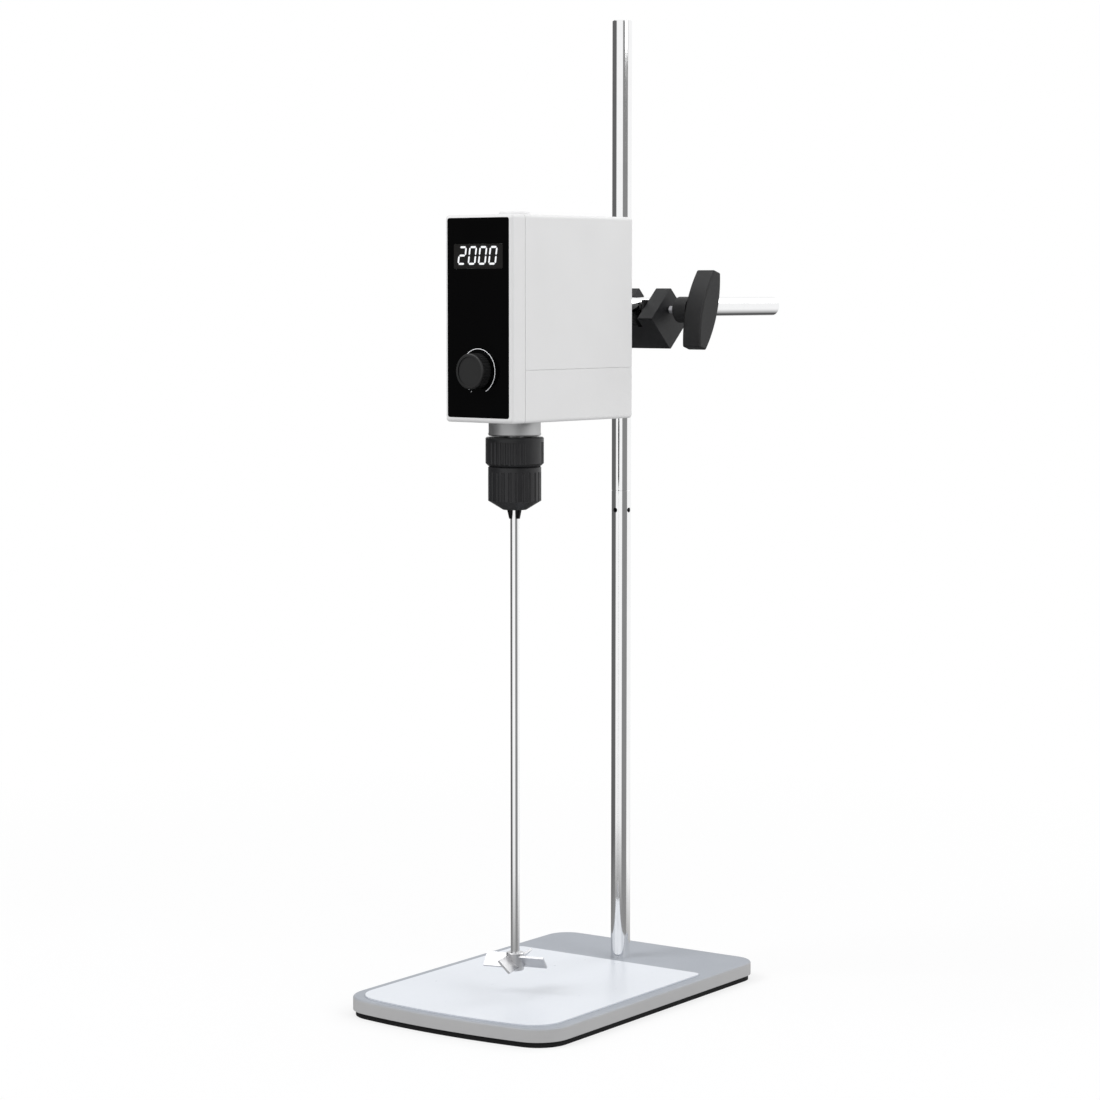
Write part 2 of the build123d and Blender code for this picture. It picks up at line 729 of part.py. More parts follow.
with BuildPart() as seal_ring:
    turn([
        (seal_bore_radius, neck_bottom_z - seal_height),
        (neck_radius - seal_taper, neck_bottom_z - seal_height),
        (neck_radius + seal_lip, neck_bottom_z - seal_height / 2),
        (neck_radius + seal_lip, neck_bottom_z),
        (seal_bore_radius, neck_bottom_z),
    ])
keep("seal_ring", seal_ring)

bearing_levels = (lower_bearing_z, upper_bearing_z)
ball_circle = (bearing_inner_radius + bearing_outer_radius) / 2
inner_race = ball_circle - ball_radius - race_gap
outer_race = ball_circle + ball_radius + race_gap


def bearing_rings(inner, outer):
    """One ring for each of the two ball bearings."""
    for level in bearing_levels:
        with BuildSketch(Plane.XY.offset(level)) as ring:
            Circle(outer)
            Circle(inner, mode=Mode.SUBTRACT)
        extrude(ring.sketch, amount=bearing_width)


with BuildPart() as bearing_outer_rings:
    bearing_rings(outer_race, bearing_outer_radius)
keep("bearing_outer_rings", bearing_outer_rings)

with BuildPart() as bearing_inner_rings:
    bearing_rings(bearing_inner_radius, inner_race)
keep("bearing_inner_rings", bearing_inner_rings)

with BuildPart() as bearing_balls:
    for level in bearing_levels:
        with Locations((0, 0, level + bearing_width / 2)):
            with PolarLocations(ball_circle, balls):
                Sphere(ball_radius)
keep("bearing_balls", bearing_balls)

# ---- housing shells -------------------------------------------------------------------
with BuildPart() as seam_grooves:
    grown = house_half_width + cut_over
    lengthwise = (house_front_y - cut_over, house_rear_y + cut_over)
    upright = (house_bottom_z - cut_over, house_top_z + cut_over)
    block((-grown, grown), (bezel_rear_y - seam_width / 2, bezel_rear_y + seam_width / 2), upright)
    block((-grown, grown), (bezel_rear_y, lengthwise[1]), (seam_z - seam_width / 2, seam_z + seam_width / 2))
    housing_block(seam_depth, mode=Mode.SUBTRACT)

with BuildPart() as front_bezel:
    housing_shell()
    block((-grown, grown), (lengthwise[0], bezel_rear_y), upright, Mode.INTERSECT)
    panel_z = panel_bottom_z + panel_height / 2
    with BuildSketch(Plane.XZ.offset(-house_front_y)):
        with Locations((0, panel_z)):
            RectangleRounded(panel_width + 2 * panel_gap, panel_height + 2 * panel_gap, panel_corner)
    extrude(amount=-panel_thick, mode=Mode.SUBTRACT)
    opening_x = window_width / 2 - window_ledge
    opening_z = window_height / 2 - window_ledge
    window_span = (window_z - opening_z, window_z + opening_z)
    block((-opening_x, opening_x), (lengthwise[0], bezel_rear_y), window_span, Mode.SUBTRACT)
    bush_hole = control_bush_radius + running_gap
    rod((0, lengthwise[0], knob_z), (0, 1, 0), bush_hole, bezel_depth, Mode.SUBTRACT)
keep("front_bezel", front_bezel)

with BuildPart() as front_panel:
    with BuildSketch(Plane.XZ.offset(-house_front_y)):
        with Locations((0, panel_z)):
            RectangleRounded(panel_width, panel_height, panel_corner)
        with Locations((0, window_z)):
            RectangleRounded(window_width, window_height, window_corner, mode=Mode.SUBTRACT)
        with Locations((0, knob_z)):
            Circle(bush_hole, mode=Mode.SUBTRACT)
    extrude(amount=-panel_thick)
keep("front_panel", front_panel)

with BuildPart() as display_window:
    with BuildSketch(Plane.XZ.offset(-house_front_y - panel_thick + window_thick)):
        with Locations((0, window_z)):
            RectangleRounded(window_width - 2 * panel_gap, window_height - 2 * panel_gap, window_corner)
    extrude(amount=-window_thick)
keep("display_window", display_window)

with BuildPart() as display_module:
    display_x = window_width / 2 + display_margin
    display_z = window_height / 2 + display_margin
    block(
        (-display_x, display_x),
        (inner_front_y, inner_front_y + display_depth),
        (window_z - display_z, window_z + display_z),
    )
    pin_length = control_depth - display_depth
    pin_y = inner_front_y + display_depth + pin_length / 2
    for pin in range(display_pins):
        pin_x = (pin - (display_pins - 1) / 2) * display_pin_pitch
        for side in (-1, 1):
            with Locations((pin_x, pin_y, window_z + side * (display_z - display_pin_inset))):
                Box(display_pin, pin_length, display_pin)
keep("display_module", display_module)

board_z = panel_z
board_hole_x = board_width / 2 - board_hole_inset
board_hole_z = board_height / 2 - board_hole_inset
board_holes = [(x, board_z + z) for x in (-board_hole_x, board_hole_x) for z in (-board_hole_z, board_hole_z)]
with BuildPart() as control_board:
    block(
        (-board_width / 2, board_width / 2),
        (board_y, board_y + board_thick),
        (board_z - board_height / 2, board_z + board_height / 2),
    )
    for x, z in board_holes:
        rod((x, board_y, z), (0, 1, 0), board_hole_radius, board_thick, Mode.SUBTRACT)
keep("control_board", control_board)

with BuildPart() as board_standoffs:
    for x, z in board_holes:
        rod((x, inner_front_y, z), (0, 1, 0), standoff_radius, board_y - inner_front_y)
keep("board_standoffs", board_standoffs)

with BuildPart() as speed_control:
    rod((0, inner_front_y, knob_z), (0, 1, 0), control_radius, control_depth)
    rod((0, inner_front_y, knob_z), (0, -1, 0), control_bush_radius, house_wall + control_bush)
    through = (0, board_y - control_end_wall, knob_z)
    rod(through, (0, -1, 0), control_shaft_radius + running_gap, 2 * control_depth, Mode.SUBTRACT)
keep("speed_control", speed_control)

with BuildPart() as speed_control_shaft:
    shaft_start_y = board_y - control_shaft_end
    tip_y = house_front_y - knob_standoff - control_shaft_in_knob
    rod((0, shaft_start_y, knob_z), (0, -1, 0), control_shaft_radius, shaft_start_y - tip_y)
    block(
        (-control_shaft_radius, control_shaft_radius),
        (tip_y, tip_y + control_flat_length),
        (knob_z + control_shaft_radius - control_flat, knob_z + control_shaft_radius),
        Mode.SUBTRACT,
    )
keep("speed_control_shaft", speed_control_shaft)

with BuildPart() as speed_knob:
    knob_back_y = house_front_y - knob_standoff
    knob_face_y = knob_back_y - knob_height
    rod((0, knob_back_y, knob_z), (0, -1, 0), knob_radius, knob_height)
    rims = speed_knob.edges().filter_by(GeomType.CIRCLE).sort_by(Axis.Y)
    fillet(rims[0], knob_edge_radius)
    rod((0, knob_face_y, knob_z), (0, 1, 0), knob_radius - knob_rim, knob_dish, Mode.SUBTRACT)
    rod((0, knob_back_y, knob_z), (0, -1, 0), knob_recess_radius, knob_recess, Mode.SUBTRACT)
    with Locations(Plane(origin=(0, knob_back_y, knob_z), z_dir=(0, -1, 0))):
        with PolarLocations(knob_radius + knob_groove_radius / 3, knob_grooves):
            Cylinder(knob_groove_radius, knob_height - knob_groove_stop, align=seat, mode=Mode.SUBTRACT)
    add(speed_control_shaft.part, mode=Mode.SUBTRACT)
keep("speed_knob", speed_knob)

with BuildPart() as upper_shell:
    housing_shell()
    block((-grown, grown), (bezel_rear_y, lengthwise[1]), (seam_z, upright[1]), Mode.INTERSECT)
    rod((0, 0, frame_top_z), (0, 0, 1), cap_plug_radius + running_gap, house_top_z, Mode.SUBTRACT)
    rod((0, frame_wall_y, arm_z), (0, 1, 0), arm_radius + hole_gap, house_rear_y, Mode.SUBTRACT)
    for x, z in rear_points:
        rod((x, inner_rear_y, z), (0, 1, 0), small_screw_radius + running_gap, house_wall, Mode.SUBTRACT)
keep("upper_shell", upper_shell)

with BuildPart() as lower_shell:
    housing_shell()
    block((-grown, grown), (bezel_rear_y, lengthwise[1]), (upright[0], seam_z), Mode.INTERSECT)
    for x, y in frame_feet:
        rod((x, y, house_bottom_z + house_wall), (0, 0, 1), foot_boss_radius,
            frame_base_z - house_bottom_z - house_wall)
    rod((0, 0, upright[0]), (0, 0, 1), neck_radius + hole_gap, frame_base_z - upright[0], Mode.SUBTRACT)
    with Locations(*[Plane(origin=(x, y, house_bottom_z), z_dir=(0, 0, -1)) for x, y in frame_feet]):
        CounterSinkHole(
            small_screw_radius + running_gap,
            small_head_radius + running_gap,
            frame_base_z - house_bottom_z + cut_over,
            countersink_angle,
        )
    rod((jack_x, frame_wall_y, jack_z), (0, 1, 0), jack_radius + running_gap, house_rear_y, Mode.SUBTRACT)
    switch_half = (switch_width / 2 - switch_lip, switch_height / 2 - switch_lip)
    block(
        (switch_x - switch_half[0] - panel_gap, switch_x + switch_half[0] + panel_gap),
        (frame_wall_y, lengthwise[1]),
        (switch_z - switch_half[1] - panel_gap, switch_z + switch_half[1] + panel_gap),
        Mode.SUBTRACT,
    )
keep("lower_shell", lower_shell)

with BuildPart() as bottom_screws:
    for x, y in frame_feet:
        turn([
            (0, house_bottom_z),
            (small_head_radius, house_bottom_z),
            (small_screw_radius, house_bottom_z + small_head_radius - small_screw_radius),
            (small_screw_radius, frame_base_z + frame_plate),
            (0, frame_base_z + frame_plate),
        ], centre=(x, y))
keep("bottom_screws", bottom_screws)

with BuildPart() as rear_screws:
    for x, z in rear_points:
        rod((x, frame_wall_y, z), (0, 1, 0), small_screw_radius, frame_plate + house_wall)
        rod((x, house_rear_y, z), (0, 1, 0), small_head_radius, small_head)
        rod((x, house_rear_y + small_head, z), (0, -1, 0), small_socket_radius, small_socket, Mode.SUBTRACT)
    head_faces = rear_screws.faces().sort_by(Axis.Y)[-len(rear_points):]
    fillet(head_faces.edges().filter_by(lambda edge: edge.radius > small_screw_radius), small_head_edge)
keep("rear_screws", rear_screws)

with BuildPart() as shaft_cap:
    rod((0, 0, house_top_z), (0, 0, 1), cap_radius, cap_height)
    chamfer(shaft_cap.edges().filter_by(GeomType.CIRCLE).sort_by(Axis.Z)[-1], cap_edge)
    rod((0, 0, house_top_z), (0, 0, -1), cap_plug_radius, cap_plug_depth)
    cap_foot = (0, 0, house_top_z - cap_plug_depth)
    rod(cap_foot, (0, 0, 1), cap_plug_radius - cap_plug_wall, cap_plug_depth, Mode.SUBTRACT)
keep("shaft_cap", shaft_cap)

# ---- rear fittings and the driver board -----------------------------------------------
with BuildPart() as power_jack:
    rod((jack_x, house_rear_y - jack_depth, jack_z), (0, 1, 0), jack_radius, jack_depth)
    rod((jack_x, house_rear_y, jack_z), (0, 1, 0), jack_flange_radius, jack_flange)
    mouth = (jack_x, house_rear_y + jack_flange, jack_z)
    rod(mouth, (0, -1, 0), jack_bore_radius, jack_depth + jack_flange - jack_floor, Mode.SUBTRACT)
    rod((jack_x, house_rear_y - jack_depth, jack_z), (0, 1, 0), jack_pin_radius, jack_depth)
keep("power_jack", power_jack)

with BuildPart() as power_switch_frame:
    well = (switch_half[0] - switch_wall, switch_half[1] - switch_wall)
    block(
        (switch_x - switch_width / 2, switch_x + switch_width / 2),
        (house_rear_y, house_rear_y + switch_flange),
        (switch_z - switch_height / 2, switch_z + switch_height / 2),
    )
    chamfer(power_switch_frame.faces().sort_by(Axis.Y)[-1].edges(), switch_edge)
    block(
        (switch_x - switch_half[0], switch_x + switch_half[0]),
        (house_rear_y - switch_depth, house_rear_y),
        (switch_z - switch_half[1], switch_z + switch_half[1]),
    )
    block(
        (switch_x - well[0], switch_x + well[0]),
        (house_rear_y - switch_depth + switch_wall, house_rear_y + switch_flange),
        (switch_z - well[1], switch_z + well[1]),
        Mode.SUBTRACT,
    )
keep("power_switch_frame", power_switch_frame)

rocker_y = house_rear_y - rocker_pivot_depth
with BuildPart() as power_switch_rocker:
    half = well[1] - rocker_end_gap
    tilt = math.radians(rocker_tilt)
    outward = (0, math.cos(tilt), math.sin(tilt))
    rocker_face = rocker_pivot_depth + switch_flange
    rocker_plane = Plane(origin=(switch_x, rocker_y, switch_z), x_dir=outward, z_dir=(1, 0, 0))
    with BuildSketch(rocker_plane.offset(rocker_gap - well[0])):
        with BuildLine():
            Polyline(
                (-rocker_heel, rocker_heel - half),
                (rocker_face + rocker_rise, -half),
                (rocker_face - rocker_dip, 0),
                (rocker_face + rocker_rise, half),
                (-rocker_heel, half - rocker_heel),
                close=True,
            )
        make_face()
    extrude(amount=2 * (well[0] - rocker_gap))
    for side in (-1, 1):
        rod((switch_x, rocker_y, switch_z), (side, 0, 0), rocker_pin_radius, well[0] - running_gap)
keep("power_switch_rocker", power_switch_rocker)

driver_y = frame_wall_y - driver_gap - board_thick
driver_hole_x = driver_width / 2 - board_hole_inset
driver_hole_z = (driver_bottom_z + board_hole_inset, driver_bottom_z + driver_height - board_hole_inset)
driver_holes = [(x, z) for x in (-driver_hole_x, driver_hole_x) for z in driver_hole_z]
with BuildPart() as driver_board:
    driver_z = (driver_bottom_z, driver_bottom_z + driver_height)
    block((-driver_width / 2, driver_width / 2), (driver_y, driver_y + board_thick), driver_z)
    coil_middle_z = driver_bottom_z + coil_rise
    with Locations(*[(x, driver_y - coil_width / 2, coil_middle_z) for x in (-coil_x, coil_x)]):
        Box(coil_width, coil_width, coil_height)
    for x, z in driver_holes:
        rod((x, driver_y, z), (0, 1, 0), board_hole_radius, board_thick, Mode.SUBTRACT)
keep("driver_board", driver_board)

with BuildPart() as driver_standoffs:
    for x, z in driver_holes:
        rod((x, driver_y + board_thick, z), (0, 1, 0), standoff_radius, driver_gap)
keep("driver_standoffs", driver_standoffs)

# ---- motor, gears and spindle ---------------------------------------------------------
motor_base_z = shelf_z + shelf_thick
with BuildPart() as motor_case:
    rod((0, motor_y, motor_base_z), (0, 0, 1), motor_radius, motor_height)
    chamfer(motor_case.edges().filter_by(GeomType.CIRCLE), motor_edge)
    rod((0, motor_y, motor_base_z + motor_height), (0, 0, 1), motor_cap_radius, motor_cap_height)
    rod((0, motor_y, motor_base_z), (0, 0, -1), motor_boss_radius, motor_boss_height)
    bore = motor_shaft_radius + running_gap
    rod((0, motor_y, motor_base_z - motor_boss_height), (0, 0, 1), bore, motor_shaft_bore, Mode.SUBTRACT)
    screw_spots = [(x, motor_y + y) for x in (-motor_screw_circle, motor_screw_circle)
                   for y in (-motor_screw_circle, motor_screw_circle)]
    for x, y in screw_spots:
        rod((x, y, motor_base_z), (0, 0, 1), small_screw_radius + seat_gap, motor_screw_hole, Mode.SUBTRACT)
keep("motor_case", motor_case)

with BuildPart() as motor_screws:
    for x, y in screw_spots:
        rod((x, y, shelf_z), (0, 0, 1), small_screw_radius, shelf_thick + motor_screw_bite)
        rod((x, y, shelf_z), (0, 0, -1), small_head_radius, small_head)
keep("motor_screws", motor_screws)

with BuildPart() as motor_shaft:
    shaft_foot_z = gear_z - motor_shaft_end
    shaft_head_z = motor_base_z + motor_shaft_in_case
    rod((0, motor_y, shaft_foot_z), (0, 0, 1), motor_shaft_radius, shaft_head_z - shaft_foot_z)
keep("motor_shaft", motor_shaft)

with BuildPart() as motor_pinion:
    with BuildSketch(Plane.XY.offset(gear_z)):
        with Locations((0, motor_y)):
            with BuildSketch(mode=Mode.PRIVATE) as pinion_face:
                gear_outline(pinion_teeth, 180 / pinion_teeth - 90, gear_backlash / 2)
            add(pinion_face.sketch)
            Circle(motor_shaft_radius + seat_gap, mode=Mode.SUBTRACT)
    extrude(amount=gear_width)
keep("motor_pinion", motor_pinion)

with BuildPart() as spindle_gear:
    with BuildSketch(Plane.XY.offset(gear_z)):
        gear_outline(gear_teeth, 90, gear_backlash / 2)
        Circle(spindle_radius + seat_gap, mode=Mode.SUBTRACT)
        with PolarLocations(gear_hole_circle, gear_holes):
            Circle(gear_hole_radius, mode=Mode.SUBTRACT)
    extrude(amount=gear_width)
keep("spindle_gear", spindle_gear)

with BuildPart() as hollow_spindle:
    rod((0, 0, core_seat_z), (0, 0, 1), spindle_radius, spindle_top_z - core_seat_z)
    chamfer(hollow_spindle.edges().filter_by(GeomType.CIRCLE).sort_by(Axis.Z)[-1], spindle_edge)
    rod((0, 0, core_seat_z), (0, 0, 1), spindle_bore_radius, spindle_top_z, Mode.SUBTRACT)
keep("hollow_spindle", hollow_spindle)

# ---- chuck ----------------------------------------------------------------------------
cone_slope = (sleeve_cone_top_z - sleeve_bottom_z) / (sleeve_radius - sleeve_nose_radius)
sleeve_bore_radius = core_radius + core_gap
jaw_angles = (0, 120, 240)


def cone_height(radius, rise):
    """Height of a cone inside the sleeve's nose, rise above the outer cone."""
    return sleeve_bottom_z + cone_slope * (radius - sleeve_nose_radius) + rise


def jaw_axis_radius(height):
    """How far a jaw's own axis lies from the shaft's, at a height."""
    return jaw_nose_axis + (height - sleeve_bottom_z) * jaw_run


def jaw_bar(radius, low, high, mode=Mode.ADD):
    """A leaning round bar in the XZ plane, on the first jaw's axis."""
    start = (jaw_axis_radius(low), 0, low)
    rod(start, (jaw_run, 0, 1), radius, (high - low) / math.cos(math.radians(jaw_slope)), mode)


with BuildPart() as jaw_hole:
    jaw_bar(jaw_radius + jaw_clearance, jaw_tip_z, jaw_top_z + jaw_travel + jaw_hole_end)

with BuildPart() as chuck_core:
    inner_rise = sleeve_wall + core_nose_gap
    turn([
        (0, cone_height(sleeve_nose_radius, inner_rise)),
        (sleeve_nose_radius, cone_height(sleeve_nose_radius, inner_rise)),
        (core_radius, cone_height(core_radius, inner_rise)),
        (core_radius, core_top_z),
        (0, core_top_z),
    ])
    nut_slot_radius = jaw_axis_radius(nut_bottom_z) + jaw_radius
    turn([
        (nut_slot_radius, nut_bottom_z),
        (core_radius + cut_over, nut_bottom_z),
        (core_radius + cut_over, nut_top_z),
        (nut_slot_radius, nut_top_z),
    ], mode=Mode.SUBTRACT)
    rod((0, 0, jaw_tip_z), (0, 0, 1), shaft_radius + core_shaft_gap, core_top_z, Mode.SUBTRACT)
    rod((0, 0, core_seat_z), (0, 0, 1), spindle_radius + seat_gap, core_top_z, Mode.SUBTRACT)
    for turned in jaw_angles:
        add(jaw_hole.part, rotation=(0, 0, turned), mode=Mode.SUBTRACT)
keep("chuck_core", chuck_core)

with BuildPart() as chuck_ring:
    turn([
        (core_radius + seat_gap, chuck_ring_bottom_z),
        (chuck_ring_radius - chuck_ring_chamfer, chuck_ring_bottom_z),
        (chuck_ring_radius, chuck_ring_bottom_z + chuck_ring_chamfer),
        (chuck_ring_radius, chuck_ring_top_z - chuck_ring_edge),
        (chuck_ring_radius - chuck_ring_edge, chuck_ring_top_z),
        (spindle_radius + seat_gap, chuck_ring_top_z),
        (spindle_radius + seat_gap, core_top_z),
        (core_radius + seat_gap, core_top_z),
    ])
    group = ring_flutes // 3
    flute_length = chuck_ring_top_z - chuck_ring_bottom_z - ring_flute_stop
    flute_circle = chuck_ring_radius + ring_flute_radius - ring_flute_depth
    for number in range(ring_flutes):
        if number % group < group - ring_land:
            angle = math.radians((number + ring_land / 2) * 360 / ring_flutes)
            foot = (flute_circle * math.cos(angle), flute_circle * math.sin(angle), chuck_ring_bottom_z)
            rod(foot, (0, 0, 1), ring_flute_radius, flute_length, Mode.SUBTRACT)
keep("chuck_ring", chuck_ring)

sleeve_top_z = chuck_ring_bottom_z - sleeve_ring_gap
with BuildPart() as chuck_sleeve:
    turn([
        (sleeve_nose_radius, sleeve_bottom_z),
        (sleeve_radius, sleeve_cone_top_z),
        (sleeve_radius, sleeve_top_z - chuck_ring_edge),
        (sleeve_radius - chuck_ring_edge, sleeve_top_z),
        (sleeve_bore_radius, sleeve_top_z),
        (sleeve_bore_radius, cone_height(sleeve_bore_radius, sleeve_wall)),
        (sleeve_nose_radius, cone_height(sleeve_nose_radius, sleeve_wall)),
    ])
    with Locations((0, 0, sleeve_bottom_z)):
        with PolarLocations(sleeve_radius + sleeve_flute_radius - sleeve_flute_depth, sleeve_flutes):
            Cylinder(
                sleeve_flute_radius,
                sleeve_top_z - sleeve_flute_stop - sleeve_bottom_z,
                align=seat,
                mode=Mode.SUBTRACT,
            )
keep("chuck_sleeve", chuck_sleeve)

with BuildPart() as jaw_nut:
    turn([
        (nut_slot_radius + nut_gap + (nut_top_z - nut_bottom_z) * jaw_run, nut_bottom_z + nut_gap),
        (sleeve_bore_radius, nut_bottom_z + nut_gap),
        (sleeve_bore_radius, nut_top_z - nut_gap),
        (nut_slot_radius + nut_gap + (nut_top_z - nut_bottom_z) * jaw_run, nut_top_z - nut_gap),
    ])
    block((-grown, grown), (-nut_split / 2, nut_split / 2), (nut_bottom_z, nut_top_z), Mode.SUBTRACT)
keep("jaw_nut", jaw_nut)

with BuildPart() as jaw_pattern:
    jaw_bar(jaw_radius, jaw_tip_z, jaw_top_z)
    half_angle = math.radians(jaw_half_angle)
    far = 4 * core_radius
    with BuildSketch(Plane.XY.offset(jaw_tip_z - cut_over)):
        with BuildLine():
            Polyline(
                (0, 0),
                (far * math.cos(half_angle), -far * math.sin(half_angle)),
                (far * math.cos(half_angle), far * math.sin(half_angle)),
                close=True,
            )
        make_face()
    extrude(amount=jaw_top_z - jaw_tip_z + 2 * cut_over, mode=Mode.INTERSECT)
    face_x = shaft_radius + shaft_grip_gap
    block((-far, face_x), (-far, far), (jaw_tip_z - cut_over, jaw_top_z + cut_over), Mode.SUBTRACT)
    block((-far, far), (-far, far), (jaw_tip_z, jaw_top_z), Mode.INTERSECT)

for number, turned in enumerate(jaw_angles, start=1):
    with BuildPart() as jaw:
        add(jaw_pattern.part, rotation=(0, 0, turned))
    keep(f"jaw_{number}", jaw)

# ---- stirring shaft and impeller ------------------------------------------------------
with BuildPart() as stirring_shaft:
    rod((0, 0, shaft_bottom_z), (0, 0, 1), shaft_radius, shaft_length)
    chamfer(stirring_shaft.edges().filter_by(GeomType.CIRCLE), shaft_chamfer)
keep("stirring_shaft", stirring_shaft)

hub_z = shaft_bottom_z + impeller_lift
hub_middle = hub_z + impeller_hub / 2
with BuildPart() as impeller:
    rod((0, 0, hub_z), (0, 0, 1), impeller_hub_radius, impeller_hub)
    chamfer(impeller.edges().filter_by(GeomType.CIRCLE), shaft_chamfer)
    blade_length = impeller_radius - shaft_radius - blade_root
    for blade in range(impeller_blades):
        angle = blade * 360 / impeller_blades + impeller_phase
        with BuildPart(mode=Mode.PRIVATE) as one_blade:
            Box(
                blade_length,
                impeller_blade_thick,
                impeller_blade,
                align=(Align.MIN, Align.CENTER, Align.CENTER),
                rotation=(impeller_pitch, 0, 0),
            )
        place = Location((0, 0, hub_middle), (0, 0, angle)) * Location((shaft_radius + blade_root, 0, 0))
        add(one_blade.part.moved(place))
    rod((0, 0, hub_z), (0, 0, 1), shaft_radius + seat_gap, impeller_hub, Mode.SUBTRACT)
    rod((0, 0, hub_middle), (0, -1, 0), small_screw_radius + seat_gap, 2 * impeller_hub_radius, Mode.SUBTRACT)
keep("impeller", impeller)

with BuildPart() as impeller_screw:
    screw_start = (0, -shaft_radius - seat_gap, hub_middle)
    rod(screw_start, (0, -1, 0), small_screw_radius, impeller_hub_radius - shaft_radius - impeller_screw_sink)
keep("impeller_screw", impeller_screw)

for name, piece in pieces.items():
    export_step(piece, f"parts/{name}.step")
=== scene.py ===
"""Overhead stirrer on a plate stand: its finishes and small pieces, in metres.

The stirring shaft's axis is x = y = 0 and the bench is z = 0. +Y runs back along the arm.
"""
import math

import bpy
import numpy as np
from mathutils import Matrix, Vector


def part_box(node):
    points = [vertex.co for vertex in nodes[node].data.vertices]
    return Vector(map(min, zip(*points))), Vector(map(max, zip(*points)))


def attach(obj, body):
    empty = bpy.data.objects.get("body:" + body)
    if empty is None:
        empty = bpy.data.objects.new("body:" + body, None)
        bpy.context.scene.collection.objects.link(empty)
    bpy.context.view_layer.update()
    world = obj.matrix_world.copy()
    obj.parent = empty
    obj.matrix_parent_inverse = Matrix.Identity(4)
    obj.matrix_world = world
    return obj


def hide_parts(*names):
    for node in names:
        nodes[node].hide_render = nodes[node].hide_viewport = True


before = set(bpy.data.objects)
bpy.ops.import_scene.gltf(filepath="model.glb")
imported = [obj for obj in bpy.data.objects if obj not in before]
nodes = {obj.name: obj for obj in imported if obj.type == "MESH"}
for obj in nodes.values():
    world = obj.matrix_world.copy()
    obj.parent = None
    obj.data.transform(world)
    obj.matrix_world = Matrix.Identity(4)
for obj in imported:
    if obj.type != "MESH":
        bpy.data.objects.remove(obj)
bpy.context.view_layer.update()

# ---- camera ---------------------------------------------------------------------------
# A long lens from the front right, a little above the chuck, level from side to side.
# It stands about 2.4 m away, so upright edges stay nearly parallel.
camera_place = (1.53905, -1.77783, 0.56977)
camera_tilt = math.radians(90 - 4.953)
camera_turn = math.radians(40.217)
camera_lens = 99.59
camera = bpy.data.objects.new("camera", bpy.data.cameras.new("camera"))
camera.location = camera_place
camera.rotation_euler = (camera_tilt, 0, camera_turn)
camera.data.sensor_width = 36.0
camera.data.lens = camera_lens
camera.data.clip_end = 40.0
bpy.context.scene.collection.objects.link(camera)
bpy.context.scene.camera = camera


# ---- rubber mat -----------------------------------------------------------------------
# A die-cut sheet of black rubber, glued under the plate so that the stand doesn't slip.
# Its face is matt and finely pebbled, and a little greyer where it has rubbed.
class Wire:
    """A shader socket that takes part in sums and products; each adds a Math node."""

    def __init__(self, finish, socket):
        self.finish = finish
        self.socket = socket

    def math(self, operation, *values):
        """A Math node on the values or wires given."""
        return self.finish.node("ShaderNodeMath", {"operation": operation}, dict(enumerate(values)))

    def __add__(self, other):
        return self.math("ADD", self, other)

    def __sub__(self, other):
        return self.math("SUBTRACT", self, other)

    def __rsub__(self, other):
        return self.math("SUBTRACT", other, self)

    def __mul__(self, other):
        return self.math("MULTIPLY", self, other)

    __radd__ = __add__
    __rmul__ = __mul__

    def clamped(self):
        """The value kept between 0 and 1."""
        return self.math("MINIMUM", self.math("MAXIMUM", self, 0.0), 1.0)


class Finish:
    """A material's node sheet round one shader; place is the point on the piece, in metres."""

    def __init__(self, name, **fixed):
        self.material = bpy.data.materials.new(name)
        self.material.use_nodes = True
        self.tree = self.material.node_tree
        self.shader = self.tree.nodes["Principled BSDF"]
        for socket, value in fixed.items():
            self.shader.inputs[socket.replace("_", " ")].default_value = value
        self.place = self.node("ShaderNodeTexCoord", output="Object")

    def node(self, kind, settings=None, inputs=None, output=0):
        """Any node: its type, its settings, then the values or wires of its sockets."""
        made = self.tree.nodes.new(kind)
        for setting, value in (settings or {}).items():
            setattr(made, setting, value)
        for socket, value in (inputs or {}).items():
            if isinstance(value, Wire):
                self.tree.links.new(value.socket, made.inputs[socket])
            else:
                made.inputs[socket].default_value = value
        return Wire(self, made.outputs[output])

    def grain(self, size, detail=3.0, stretch=(1, 1, 1)):
        """Noise from 0 to 1 with features of about size metres, drawn out along an axis."""
        point = self.node("ShaderNodeMapping", {}, {"Vector": self.place, "Scale": stretch})
        return self.node("ShaderNodeTexNoise", {}, {"Vector": point, "Scale": 1 / size, "Detail": detail})

    def pebble(self, size):
        """Distance to the nearest of many scattered points, as on a pebbled mould."""
        return self.node("ShaderNodeTexVoronoi", {}, {"Vector": self.place, "Scale": 1 / size})

    def colours(self, share, low, high):
        """A colour between two, by share."""
        return self.blend(share, (*low, 1), (*high, 1))

    def blend(self, share, low, high):
        """A colour between two wired colours, by share."""
        return self.node("ShaderNodeMix", {"data_type": "RGBA"}, {0: share, 6: low, 7: high}, 2)

    def feed(self, socket, wire):
        """Joins a wire to a socket of the surface shader."""
        self.tree.links.new(wire.socket, self.shader.inputs[socket])

    def relief(self, height, depth):
        """Raises the surface by height times depth metres, as light sees it."""
        self.feed("Normal", self.node("ShaderNodeBump", {}, {"Height": height, "Distance": depth}))


mm = 0.001


def dress(finish, *names):
    """Gives a finish to every material slot of the named CAD pieces."""
    for name in names:
        for material_slot in nodes[name].material_slots:
            material_slot.material = finish.material


